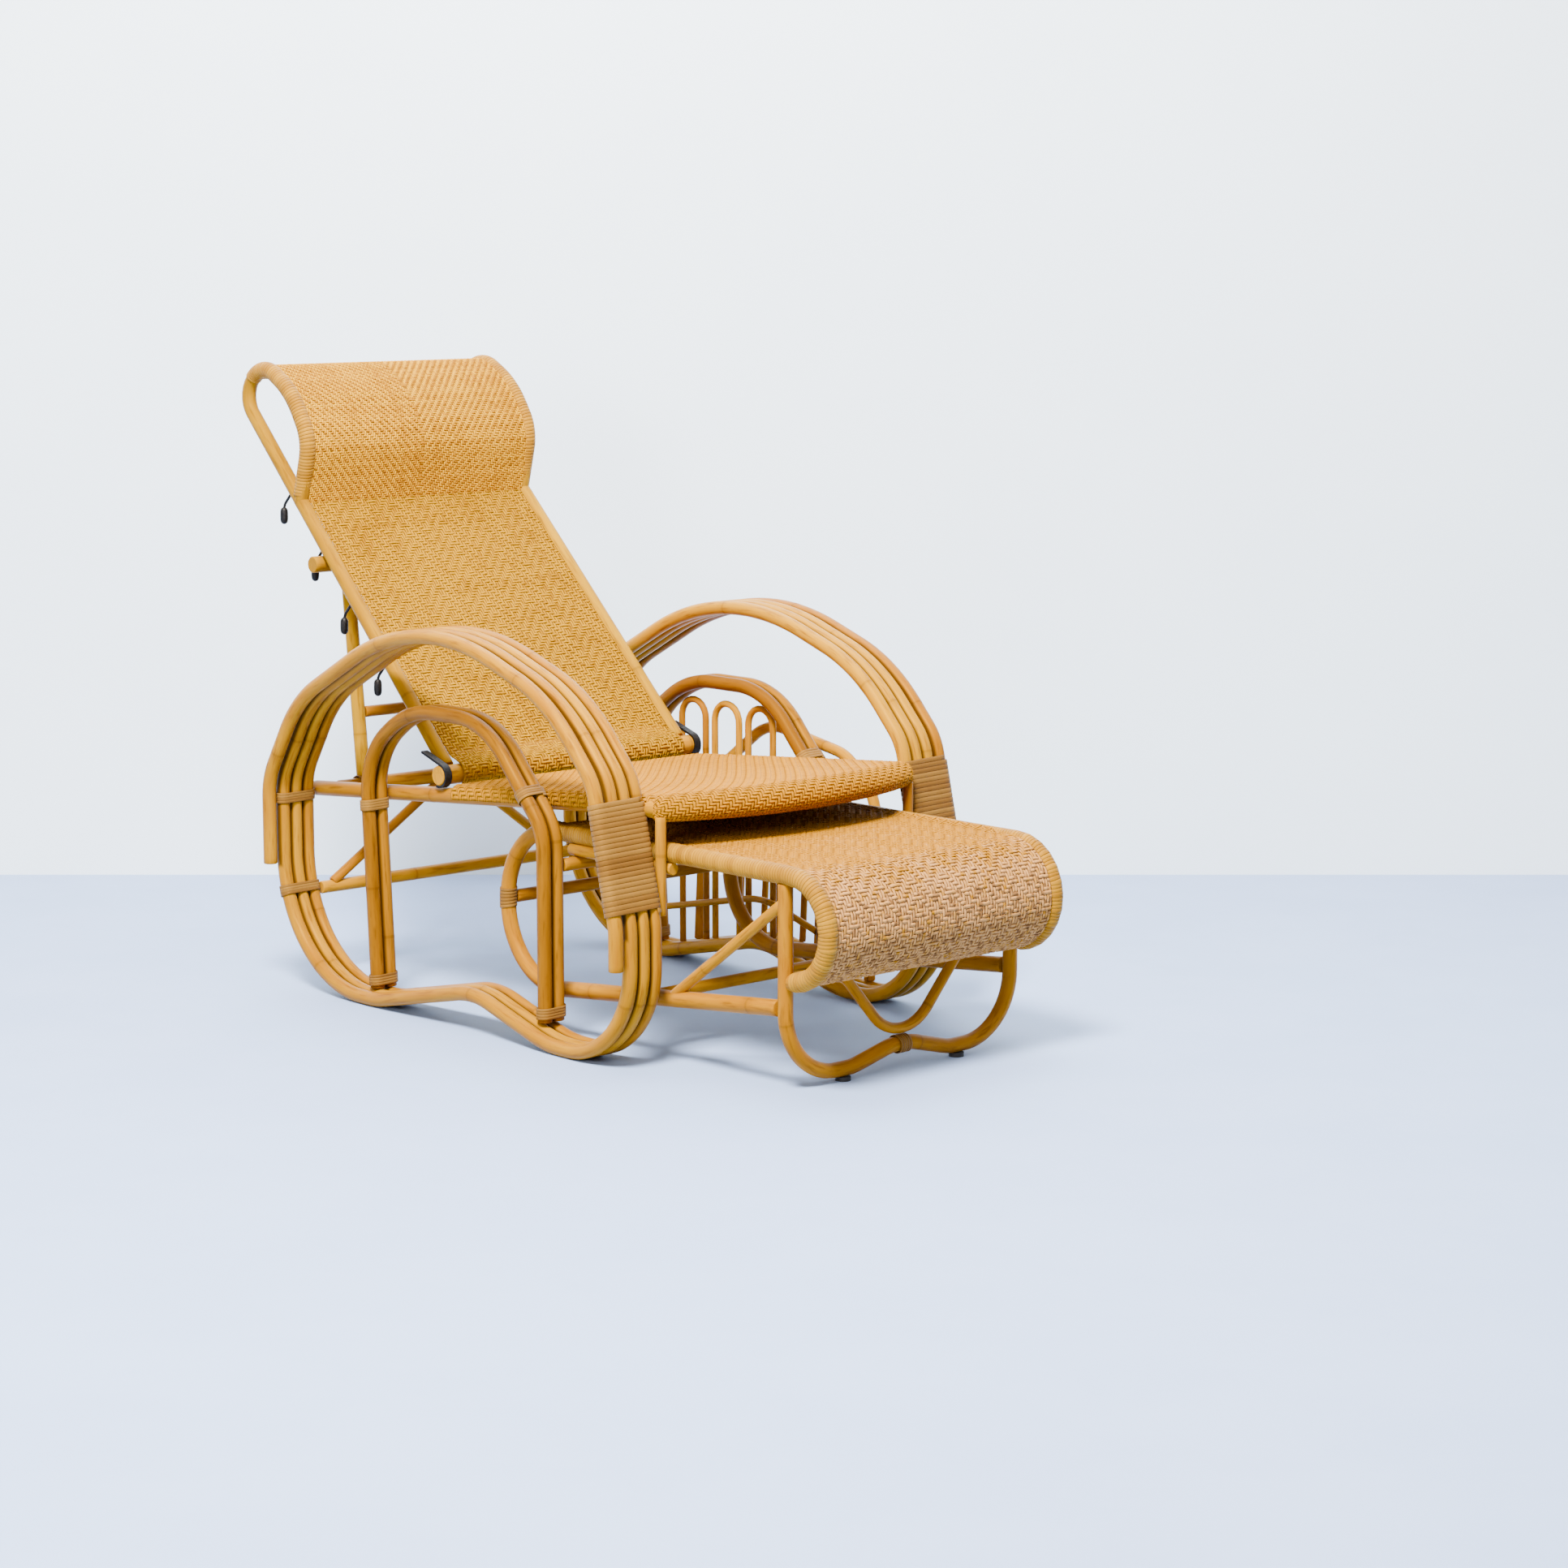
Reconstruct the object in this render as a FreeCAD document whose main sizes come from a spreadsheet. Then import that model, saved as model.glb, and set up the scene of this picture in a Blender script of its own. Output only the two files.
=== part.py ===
"""Rattan reclining lounge chair with a pull-out footrest and a magazine rack.

Millimetres, +Z up, the sitter faces -Y and the sitter's left is +X.
The origin is on the floor, below the middle of the whole chair.
"""
import FreeCAD
import Part
import Sketcher
import math
import os

from FreeCAD import Placement, Rotation, Vector

DIMENSIONS = [
    # Poles and canes, as diameters
    ("arm_cane", 22.0, "canes of the arm loops and inner arches"),
    ("rail_pole", 24.0, "seat rails, rear rail and footrest side poles"),
    ("front_rail_pole", 26.0, "bowed front rail of the seat"),
    ("stile_pole", 23.0, "stiles and hoops of the backrest"),
    ("hinge_pole", 30.0, "pole that the backrest turns on"),
    ("prop_rod", 26.0, "rod that hangs in the hooks"),
    ("prop_pole", 22.0, "uprights of the prop"),
    ("leg_pole", 22.0, "bent front leg of the footrest"),
    ("cross_pole", 20.0, "stretchers and cross poles"),
    ("thin_pole", 18.0, "guide rails, rungs and braces"),
    ("slim_pole", 16.0, "guide posts, diagonals and V brace"),
    ("rack_spindle", 11.0, "hairpin spindles and tie rail of the rack"),
    ("hook_wire", 4.5, "iron wire of the hooks behind the backrest"),
    ("hook_iron", 12.0, "thick finger of a hook"),
    ("glide_size", 22.0, "glides under the footrest leg"),
    # Thicknesses and clearances
    ("cane_gap", 0.4, "gap between neighbouring canes"),
    ("seat_gap", 0.1, "gap where a pole end is seated on another pole"),
    ("turn_gap", 0.4, "gap where one body turns or slides on another"),
    ("binding_wall", 3.0, "thickness of a cane binding"),
    ("binding_pitch", 7.2, "from one turn of a binding to the next"),
    ("groove_width", 1.2, "groove between two turns of a binding"),
    ("groove_depth", 1.2, ""),
    ("edge_wrap", 1.5, "thickness of the weave wrapped round the footrest's side poles"),
    ("binding_fit", 0.3, "gap between a binding and its canes"),
    ("weave_wall", 8.0, "thickness of a woven panel"),
    ("back_weave_wall", 7.0, "thickness of the backrest weave"),
    ("iron_wall", 3.5, "thickness of the hinge strap"),
    # Arm loops, corners of the centre line in side view with bend radii
    ("arm_middle", 299.0, "middle of the arm canes from the centre plane"),
    ("outer_cane_gap", 3.2, "room for a binding beside the outermost cane"),
    ("heel_y", 475.0, "rear foot corner"), ("heel_z", 11.0, ""), ("heel_bend", 200.0, ""),
    ("nape_y", 475.0, "top of the back leg"), ("nape_z", 330.0, ""), ("nape_bend", 100.0, ""),
    ("elbow_y", 394.0, "rear bend of the arm"), ("elbow_z", 460.0, ""), ("elbow_bend", 220.0, ""),
    ("crown_y", 81.0, "top of the arm"), ("crown_z", 625.0, ""), ("crown_bend", 437.0, ""),
    ("wrist_y", -224.0, "front fall of the arm"), ("wrist_z", 518.0, ""), ("wrist_bend", 300.0, ""),
    ("hand_y", -321.0, "top of the front leg"), ("hand_z", 413.0, ""), ("hand_bend", 90.0, ""),
    ("shin_y", -369.0, "kink of the front leg"), ("shin_z", 210.0, ""), ("shin_bend", 100.0, ""),
    ("toe_y", -369.0, "front foot corner"), ("toe_z", 11.0, ""), ("toe_bend", 140.0, ""),
    ("ball_y", -181.0, "end of the front foot"), ("ball_z", 11.0, ""), ("ball_bend", 200.0, ""),
    ("saddle_y", -8.0, "rise of the bottom rail"), ("saddle_z", 62.0, ""), ("saddle_bend", 160.0, ""),
    ("sole_y", 235.0, "start of the rear foot"), ("sole_z", 11.0, ""), ("sole_bend", 200.0, ""),
    ("outer_cane_front", 151.0, "height of the outermost cane's front end"),
    ("outer_cane_rear", 195.0, "height of the outermost cane's rear end"),
    ("front_binding_drop", 28.0, "start of the front binding below the hand corner"),
    ("front_binding_length", 166.0, ""),
    ("rear_binding_low", 150.0, "middle of the lower rear binding, on the foot bend"),
    ("rear_binding_high", 287.0, "height of the upper rear binding"),
    ("short_binding_length", 20.0, ""),
    # Inner arches
    ("arch_rear_y", 283.0, "rear leg"), ("arch_rear_z", 385.0, ""), ("arch_rear_bend", 120.0, ""),
    ("arch_back_y", 170.0, "rear of the crown"), ("arch_back_z", 464.0, ""), ("arch_back_bend", 180.0, ""),
    ("arch_fore_y", -15.0, "front of the crown"), ("arch_fore_z", 464.0, ""), ("arch_fore_bend", 150.0, ""),
    ("arch_front_y", -149.0, "front leg"), ("arch_front_z", 318.0, ""), ("arch_front_bend", 80.0, ""),
    ("arch_rear_foot_y", 262.0, "rear foot, ahead of the leg's upper end"),
    ("arch_rear_foot", 22.8, "height of the rear foot"),
    ("arch_front_foot", 36.2, "height of the front foot"),
    ("arch_rear_tie", 296.0, "height of the binding at the seat rail"),
    ("arch_front_tie", 20.0, "start of the sloped binding past the front bend"),
    # Seat
    ("seat_rail_x", 239.0, "seat rail from the centre plane"),
    ("seat_height", 343.0, "seat rail height at the middle of the chair"),
    ("seat_slope", 4.64, "rise of the seat to the front in degrees"),
    ("seat_rail_front", -356.0, "front end of the seat rails"),
    ("seat_rail_rear", 486.0, "rear end of the seat rails"),
    ("seat_half_width", 246.0, "half width of the woven seat"),
    ("seat_rear_edge", 119.0, "rear edge of the woven seat"),
    ("seat_front_middle", -390.0, "front rail at the centre plane"),
    ("seat_front_end", -350.0, "front rail where it meets the seat rails"),
    ("seat_front_height", 370.0, "height of the front rail"),
    ("seat_roll", 44.0, "diameter of the woven front roll"),
    ("seat_roll_half", 226.0, "half length of the woven front roll"),
    ("seat_rod_first", -60.0, "first cross rod under the seat"),
    ("seat_rod_second", -230.0, "second cross rod under the seat"),
    # Rear of the frame
    ("rear_rail_y", 442.0, "rear rail that the prop turns on"),
    ("stretcher_y", 462.0, "rear stretcher"),
    ("stretcher_z", 148.0, ""),
    ("brace_top_x", 14.0, "upper end of a rear brace from the centre plane"),
    ("brace_foot_x", 238.0, "lower end of a rear brace from the centre plane"),
    # Footrest guides
    ("guide_x", 226.0, "guide rail from the centre plane"),
    ("guide_post_y", -358.0, "guide post beside the front leg"),
    ("guide_post_foot", 218.0, "lower end of the guide post"),
    ("guide_front", -366.0, "front end of the guide rail"),
    ("guide_rear", -137.0, "rear end of the guide rail"),
    # Magazine rack on the sitter's left
    ("rack_spacing", 80.0, "from one hairpin to the next"),
    ("rack_middle", 89.0, "middle inner hairpin"),
    ("hairpin_width", 58.0, "from leg to leg of a hairpin"),
    ("hairpin_top", 430.0, "height of the inner hairpins"),
    ("rack_settle", 1.5, "how far a spindle sinks between two bottom canes"),
    ("rack_tie_rise", 70.0, "tie rail above the bottom rail"),
    ("rack_lean", 3.0, "outward lean of the outer wall in degrees"),
    ("rack_rear", 197.0, "rear leg of the outer arch"), ("rack_rear_z", 290.0, ""),
    ("rack_back", 50.0, "rear of the outer arch's crown"), ("rack_back_z", 400.0, ""),
    ("rack_fore", -130.0, "front of the outer arch's crown"), ("rack_fore_z", 368.0, ""),
    ("rack_front", -205.0, "front leg of the outer arch"), ("rack_front_z", 310.0, ""),
    ("rack_bend", 90.0, "bends of the outer arch"),
    ("outer_hairpin_middle", -20.0, "middle outer hairpin"),
    ("outer_hairpin_spacing", 92.0, ""),
    ("outer_hairpin_top", 332.0, "height of the outer hairpins"),
    # Backrest, measured along the stile from the hinge pole and behind it
    ("hinge_y", 145.0, "hinge pole"), ("hinge_z", 362.4, ""),
    ("hinge_half", 256.0, "half length of the hinge pole"),
    ("back_angle", 45.5, "backrest above the horizontal in degrees"),
    ("stile_x", 230.0, "stile from the centre plane at the hinge"),
    ("stile_taper", 0.97, "inward lean of a stile in degrees"),
    ("stile_top", 600.0, "upper end of the straight stile"),
    ("stile_back", 7.0, "stile behind the hinge pole at its upper end"),
    ("hoop_rear", 9.0, "rear of the headrest hoop"), ("hoop_rear_bend", 38.0, ""),
    ("hoop_top", 779.5, "top of the hoop"),
    ("hoop_lip", -70.0, "front top of the hoop"), ("hoop_lip_bend", 50.0, ""),
    ("hoop_brow", -96.0, "front of the hoop"), ("hoop_brow_t", 690.0, ""), ("hoop_brow_bend", 150.0, ""),
    ("hoop_chin", -78.0, "lower front of the hoop"), ("hoop_chin_t", 605.0, ""), ("hoop_chin_bend", 70.0, ""),
    ("hoop_foot_t", 545.0, "where the hoop meets the stile"),
    ("panel_foot", 6.0, "lower edge of the back weave, behind the hinge pole's middle"),
    ("panel_knee", 30.0, "bend of the back weave over the hinge pole"), ("panel_knee_bend", 25.0, ""),
    ("panel_head", 548.0, "upper edge of the back weave"),
    ("panel_front", -5.0, "middle of the back weave before the stile"),
    ("back_rail_low", 300.0, "lower cross rail behind the weave"),
    ("back_rail_high", 575.0, "upper cross rail at the headrest"),
    # Hooks, prop and hinge straps
    ("hook_first", 583.0, "highest hook along the stile"),
    ("hook_second", 463.0, "hook that holds the rod"),
    ("hook_third", 353.0, ""),
    ("hook_fourth", 228.0, ""),
    ("hook_reach", 29.5, "shank of a hook behind the stile"),
    ("hook_finger", 29.0, "length of a hook's finger"),
    ("hook_angle", 44.5, "between finger and stile in degrees, upright at rest"),
    ("hook_bend", 7.0, ""),
    ("hook_bare", 3.0, "bare wire between the bend and the thick finger"),
    ("hook_rest", 5.0, "from a hook's mark on the stile down to the rod's top"),
    ("hook_socket", 8.0, "depth of a hook in the stile"),
    ("hook_play", 0.15, "gap round a hook in its socket"),
    ("rod_play", 1.0, "gap between the rod, the stile and its hook"),
    ("rod_half", 244.0, "half length of the prop rod"),
    ("prop_x", 178.0, "prop upright from the centre plane"),
    ("prop_ring_wall", 4.0, "thickness of the binding that the prop turns on"),
    ("prop_ring_width", 28.0, ""),
    ("prop_rung", 115.0, "rung above the rear rail"),
    ("strap_inner_x", 242.5, "inner side of the hinge strap"),
    ("strap_width", 12.0, ""),
    ("strap_start", -70.0, "lower end of the strap round the pole in degrees"),
    ("strap_end", 108.0, "upper end of the strap round the pole in degrees"),
    ("strap_tail", 50.0, "straight tail of the strap"),
    # Footrest, in its half-drawn place
    ("foot_x", 221.0, "side pole from the centre plane"),
    ("foot_rail_z", 305.0, "upper run of the side pole"),
    ("foot_runner_rear", 57.0, "lower run of the side pole, carried to its rear corner"),
    ("foot_rear", 20.0, "rear bend of the side pole"),
    ("foot_rear_bend", 115.0, ""),
    ("foot_post_y", -595.0, "post and front leg"),
    ("foot_runner_front", 117.0, "height of the lower run at the post"),
    ("foot_runner_clear", 1.3, "room for the sloped end of the lower run"),
    ("foot_roll_y", -607.1, "centre of the front roll"),
    ("foot_roll", 74.0, "radius of the front hoop"),
    ("foot_weave_rise", 7.5, "weave above the middle of the side pole"),
    ("foot_panel_rear", -90.0, "rear edge of the footrest weave"),
    ("foot_wrap_front", -556.0, "front end of the weave wrapped round the side poles"),
    ("leg_lobe_z", 17.0, "lowest part of the front leg"),
    ("leg_corner_bend", 95.0, ""),
    ("leg_lobe_x", 95.0, "inner end of a lobe"), ("leg_lobe_bend", 80.0, ""),
    ("leg_middle_x", 20.0, "half length of the raised middle"), ("leg_middle_z", 36.0, ""),
    ("leg_middle_bend", 60.0, ""),
    ("leg_binding_half", 13.0, "half length of the middle binding"),
    ("glide_x", 112.0, "glide from the centre plane"),
    ("glide_height", 6.0, ""),
    ("v_brace_top", 118.0, "upper ends of the V brace from the centre plane"),
    ("v_brace_dip", 22.2, "corner that the V brace is bent round"),
    ("v_brace_bend", 70.0, ""),
    ("diagonal_foot_y", -351.0, "lower end of a diagonal"),
    ("diagonal_top_z", 268.0, "upper end of a diagonal"),
    ("panel_bearer_front", -560.0, "front cross pole under the weave"),
    ("panel_bearer_rear", -80.0, "rear cross pole under the weave"),
    ("runner_bearer", -300.0, "cross pole between the lower runs"),
]
SIDES = (("right", -1), ("left", 1))
LOOP_CORNERS = ("heel", "nape", "elbow", "crown", "wrist", "hand", "shin", "toe", "ball", "saddle", "sole")
OUTER_CANE_CORNERS = ("nape", "elbow", "crown", "wrist", "hand", "shin")
ARCH_CORNERS = ("arch_rear", "arch_back", "arch_fore", "arch_front")
X_AXIS = Vector(1, 0, 0)
Y_AXIS = Vector(0, 1, 0)
Z_AXIS = Vector(0, 0, 1)

doc = FreeCAD.newDocument("rattan_lounger")
sheet = doc.addObject("Spreadsheet::Sheet", "Sheet")
for row, (alias, value, note) in enumerate(DIMENSIONS, start=1):
    sheet.set(f"A{row}", str(value))
    sheet.setAlias(f"A{row}", alias)
    sheet.set(f"B{row}", note)
doc.recompute()

parts = {}


def dim(alias):
    """Value of one driving dimension."""
    return float(sheet.get(alias))


def half(alias):
    """Radius of a pole whose diameter is a driving dimension."""
    return dim(alias) / 2


def keep(label, item):
    """Register an object as a sub-part of the chair."""
    item.Label = label
    parts[label] = item
    return item


def side_corner(name):
    """Corner of a centre line in side view, with its bend radius."""
    return dim(f"{name}_y"), dim(f"{name}_z"), dim(f"{name}_bend")


def side_plane(x):
    """Place side-view corners on a plane across X."""
    return lambda corners: [(Vector(x, y, z), bend) for y, z, bend in corners]


def bent_path(corners, closed=False):
    """Straight runs joined by tangent arcs, through corners with bend radii."""
    count = len(corners)
    runs = []
    for index, (corner, bend) in enumerate(corners):
        if not closed and index in (0, count - 1):
            runs.append((corner, None, corner))
            continue
        before = (corner - corners[index - 1][0]).normalize()
        after = (corners[(index + 1) % count][0] - corner).normalize()
        turn = before.getAngle(after)
        reach = bend * math.tan(turn / 2)
        inward = (after - before).normalize()
        middle = corner + inward * (bend / math.cos(turn / 2) - bend)
        runs.append((corner - before * reach, middle, corner + after * reach))
    edges = []
    for index, (start, middle, end) in enumerate(runs):
        if middle is not None:
            edges.append(Part.Arc(start, middle, end).toShape())
        following = runs[(index + 1) % count][0]
        last = index == count - 1
        if not (last and not closed) and (following - end).Length > 0.01:
            edges.append(Part.LineSegment(end, following).toShape())
    return Part.Wire(edges)


def bent_pole(label, corners, diameter, closed=False):
    """Round pole along straight runs and tangent arcs."""
    path = doc.addObject("Part::Feature", f"{label}_path")
    path.Shape = bent_path(corners, closed)
    first = path.Shape.OrderedEdges[0]
    section = doc.addObject("Part::Circle", f"{label}_section")
    section.setExpression("Radius", f"Sheet.{diameter} / 2")
    start = first.valueAt(first.FirstParameter)
    section.Placement = Placement(start, Rotation(Z_AXIS, first.tangentAt(first.FirstParameter)))
    pole = doc.addObject("Part::Sweep", label)
    pole.Sections = [section]
    pole.Spine = path
    pole.Solid = True
    pole.Frenet = False
    doc.recompute()
    expected = math.pi * half(diameter) ** 2 * path.Shape.Length
    if abs(pole.Shape.Volume / expected - 1) > 0.01:
        raise ValueError(f"{label}: volume {pole.Shape.Volume:.0f}, section times length {expected:.0f}")
    return pole


def straight_pole(label, start, end, diameter):
    """Round pole between two points."""
    pole = doc.addObject("Part::Cylinder", label)
    pole.setExpression("Radius", f"Sheet.{diameter} / 2")
    pole.Height = (end - start).Length
    pole.Placement = Placement(start, Rotation(Z_AXIS, end - start))
    return pole


def cross_pole(label, half_length, y, z, diameter):
    """Straight pole across the chair."""
    return straight_pole(label, Vector(-half_length, y, z), Vector(half_length, y, z), diameter)


def coped(label, pole, neighbours):
    """Cut a pole's ends to the poles that it meets."""
    for count, neighbour in enumerate(neighbours):
        cut = doc.addObject("Part::Cut", f"{label}_coped_{count}")
        cut.Base = pole
        cut.Tool = neighbour
        pole = cut
    return pole


def group(label, items):
    """Several separate solids that share one node."""
    cluster = doc.addObject("Part::Compound", label)
    cluster.Links = items
    return cluster


def prism(label, wire, direction, thickness):
    """Solid made by pushing a closed flat outline along a direction."""
    outline = doc.addObject("Part::Feature", f"{label}_outline")
    outline.Shape = Part.Face(wire)
    solid = doc.addObject("Part::Extrusion", label)
    solid.Base = outline
    solid.DirMode = "Custom"
    solid.Dir = direction
    solid.setExpression("LengthFwd", thickness)
    solid.Solid = True
    return solid


def add_slot(sketch, centre_expression, radius_expression):
    """Slot outline round a row of canes, centred on the sketch's origin."""
    centre = 40.0
    radius = 12.0
    first = len(sketch.Geometry)
    quarter = math.pi / 2
    right_end = Part.Circle(Vector(centre, 0, 0), Z_AXIS, radius)
    left_end = Part.Circle(Vector(-centre, 0, 0), Z_AXIS, radius)
    sketch.addGeometry(Part.ArcOfCircle(right_end, -quarter, quarter))
    sketch.addGeometry(Part.LineSegment(Vector(centre, radius, 0), Vector(-centre, radius, 0)))
    sketch.addGeometry(Part.ArcOfCircle(left_end, quarter, 3 * quarter))
    sketch.addGeometry(Part.LineSegment(Vector(-centre, -radius, 0), Vector(centre, -radius, 0)))
    start, end, middle = 1, 2, 3
    right_arc, top, left_arc, bottom = range(first, first + 4)
    horizontal_axis = -1
    sketch.addConstraint(Sketcher.Constraint("Tangent", right_arc, end, top, start))
    sketch.addConstraint(Sketcher.Constraint("Tangent", top, end, left_arc, start))
    sketch.addConstraint(Sketcher.Constraint("Tangent", left_arc, end, bottom, start))
    sketch.addConstraint(Sketcher.Constraint("Tangent", bottom, end, right_arc, start))
    sketch.addConstraint(Sketcher.Constraint("PointOnObject", right_arc, middle, horizontal_axis))
    sketch.addConstraint(Sketcher.Constraint("Symmetric", right_arc, middle, left_arc, middle, -1, 1))
    sketch.addConstraint(Sketcher.Constraint("Equal", right_arc, left_arc))
    place = sketch.addConstraint(Sketcher.Constraint("DistanceX", -1, 1, right_arc, middle, centre))
    size = sketch.addConstraint(Sketcher.Constraint("Radius", right_arc, radius))
    sketch.setExpression(f"Constraints[{place}]", centre_expression)
    sketch.setExpression(f"Constraints[{size}]", radius_expression)


def binding(label, cane_count, length, placement, spare="0"):
    """Wound cane binding round a row of canes, as a slot-shaped sleeve with a groove between its turns."""
    body = doc.addObject("PartDesign::Body", label)
    origin = {item.Role: item for item in body.Origin.OriginFeatures}

    def outline(name):
        """Sketch on the binding's ground plane."""
        sketch = body.newObject("Sketcher::SketchObject", name)
        sketch.AttachmentSupport = (origin["XY_Plane"], [""])
        sketch.MapMode = "FlatFace"
        return sketch

    sketch = outline(f"{label}_outline")
    centre = f"(({cane_count} - 1) * (Sheet.arm_cane + Sheet.cane_gap) + {spare}) / 2"
    inner = "Sheet.arm_cane / 2 + Sheet.binding_fit"
    add_slot(sketch, centre, inner)
    add_slot(sketch, centre, f"{inner} + Sheet.binding_wall")
    pad = body.newObject("PartDesign::Pad", f"{label}_pad")
    pad.Profile = sketch
    pad.setExpression("Length", f"Sheet.{length}")
    doc.recompute()
    full = pad.Shape.Volume

    turns = round(dim(length) / dim("binding_pitch"))
    pitch = f"Sheet.{length} / {turns}"
    ring = outline(f"{label}_groove_outline")
    ring.setExpression("AttachmentOffset.Base.z", f"{pitch} - Sheet.groove_width / 2")
    add_slot(ring, centre, f"{inner} + Sheet.binding_wall - Sheet.groove_depth")
    add_slot(ring, centre, f"{inner} + Sheet.binding_wall + Sheet.groove_depth")
    groove = body.newObject("PartDesign::Pocket", f"{label}_groove")
    groove.Profile = ring
    groove.Reversed = True
    groove.setExpression("Length", "Sheet.groove_width")
    doc.recompute()
    cut = full - groove.Shape.Volume
    pattern = body.newObject("PartDesign::LinearPattern", f"{label}_turns")
    pattern.Originals = [groove]
    pattern.Direction = (origin["Z_Axis"], [""])
    pattern.Occurrences = turns - 1
    pattern.setExpression("Length", f"({turns} - 2) * {pitch}")
    body.Tip = pattern
    body.Placement = placement
    doc.recompute()
    lost = full - pattern.Shape.Volume
    if cut <= 0 or abs(lost / (cut * (turns - 1)) - 1) > 0.01:
        raise ValueError(f"{label}: grooves cut {lost:.1f}, one cuts {cut:.1f}")
    return body


def along(direction):
    """Turn that points a binding's length along a side-view direction, with its row across X."""
    return Rotation(X_AXIS, direction.cross(X_AXIS), direction, "ZXY")


def cane_x(side, row):
    """Lateral place of an arm cane, row 0 being the outermost."""
    pitch = dim("arm_cane") + dim("cane_gap")
    return side * (dim("arm_middle") + (1.5 - row) * pitch + (dim("outer_cane_gap") if row == 0 else 0))


def seat_z(y):
    """Height of the seat rails' centre line."""
    return dim("seat_height") - y * math.tan(math.radians(dim("seat_slope")))


def bottom_rail_z(y):
    """Height of the centre line of the loops' bottom rail."""
    loop = bent_path(side_plane(0)([side_corner(name) for name in LOOP_CORNERS]), closed=True)
    upright = Part.LineSegment(Vector(0, y, 0), Vector(0, y, dim("nape_z"))).toShape()
    return loop.distToShape(upright)[1][0][0].z


def rail_top_z(y, radius):
    """Height at which a square-ended pole stands on the sloped bottom rail."""
    low, middle, high = (bottom_rail_z(y + step * radius) for step in (-1, 0, 1))
    slope = (high - low) / (2 * radius)
    return max(low, middle, high) + half("arm_cane") * math.hypot(1, slope) + dim("seat_gap")


def make_arm_loops(side_name, side):
    """Open outer cane, three closed loop canes and their bindings."""
    loop = [side_corner(name) for name in LOOP_CORNERS]
    over_arm = [side_corner(name) for name in OUTER_CANE_CORNERS]
    rear_end = (dim("heel_y"), dim("outer_cane_rear"), 0)
    front_end = (dim("toe_y"), dim("outer_cane_front"), 0)
    outer = side_plane(cane_x(side, 0))([rear_end] + over_arm + [front_end])
    label = f"{side_name}_arm_outer_cane"
    keep(label, bent_pole(label, outer, "arm_cane"))
    for row in (1, 2, 3):
        label = f"{side_name}_loop_cane_{row}"
        keep(label, bent_pole(label, side_plane(cane_x(side, row))(loop), "arm_cane", closed=True))

    hand = Vector(0, dim("hand_y"), dim("hand_z"))
    down_leg = (Vector(0, dim("shin_y"), dim("shin_z")) - hand).normalize()
    middle = X_AXIS * (cane_x(side, 0) + cane_x(side, 3)) / 2
    start = Placement(hand + down_leg * dim("front_binding_drop") + middle, along(down_leg))
    label = f"{side_name}_front_binding"
    keep(label, binding(label, 4, "front_binding_length", start, "Sheet.outer_cane_gap"))
    bend = dim("heel_bend")
    drop = math.asin((dim("heel_z") + bend - dim("rear_binding_low")) / bend)
    up_bend = Vector(0, math.sin(drop), math.cos(drop))
    on_bend = Vector(0, dim("heel_y") - bend * (1 - math.cos(drop)), dim("rear_binding_low"))
    row = X_AXIS * cane_x(side, 2)
    places = (
        (row + on_bend - up_bend * dim("short_binding_length") / 2, up_bend),
        (row + Vector(0, dim("heel_y"), dim("rear_binding_high")), Z_AXIS),
    )
    rear = []
    for count, (base, direction) in enumerate(places):
        name = f"{side_name}_rear_binding_{count}"
        rear.append(binding(name, 3, "short_binding_length", Placement(base, along(direction))))
    label = f"{side_name}_rear_bindings"
    keep(label, group(label, rear))


def make_arch(side_name, side):
    """Double cane arch inside an arm loop, tied at its feet and at the seat rail."""
    corners = [side_corner(name) for name in ARCH_CORNERS]
    rear_foot = (dim("arch_rear_foot_y"), dim("arch_rear_foot"), 0)
    front_foot = (dim("arch_front_y"), dim("arch_front_foot"), 0)
    for name, row in (("outer", 2), ("inner", 3)):
        label = f"{side_name}_arch_{name}_cane"
        path = side_plane(cane_x(side, row))([rear_foot] + corners + [front_foot])
        keep(label, bent_pole(label, path, "arm_cane"))
    middle = (cane_x(side, 2) + cane_x(side, 3)) / 2
    front = Vector(middle, dim("arch_front_y"), dim("arch_front_z"))
    crown = Vector(middle, dim("arch_fore_y"), dim("arch_fore_z"))
    up_slope = (crown - front).normalize()
    foot = Vector(middle, rear_foot[0], rear_foot[1])
    up_leg = (Vector(middle, dim("arch_rear_y"), dim("arch_rear_z")) - foot).normalize()
    bend_end = dim("arch_front_bend") * math.tan(up_slope.getAngle(Z_AXIS) / 2)
    places = (
        (foot + up_leg * dim("binding_wall"), up_leg),
        (foot + up_leg * ((dim("arch_rear_tie") - foot.z) / up_leg.z), up_leg),
        (Vector(middle, front_foot[0], front_foot[1] + dim("binding_wall")), Z_AXIS),
        (front + up_slope * (bend_end + dim("arch_front_tie")), up_slope),
    )
    ties = []
    for count, (base, direction) in enumerate(places):
        name = f"{side_name}_arch_binding_{count}"
        ties.append(binding(name, 2, "short_binding_length", Placement(base, along(direction))))
    label = f"{side_name}_arch_bindings"
    keep(label, group(label, ties))


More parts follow.
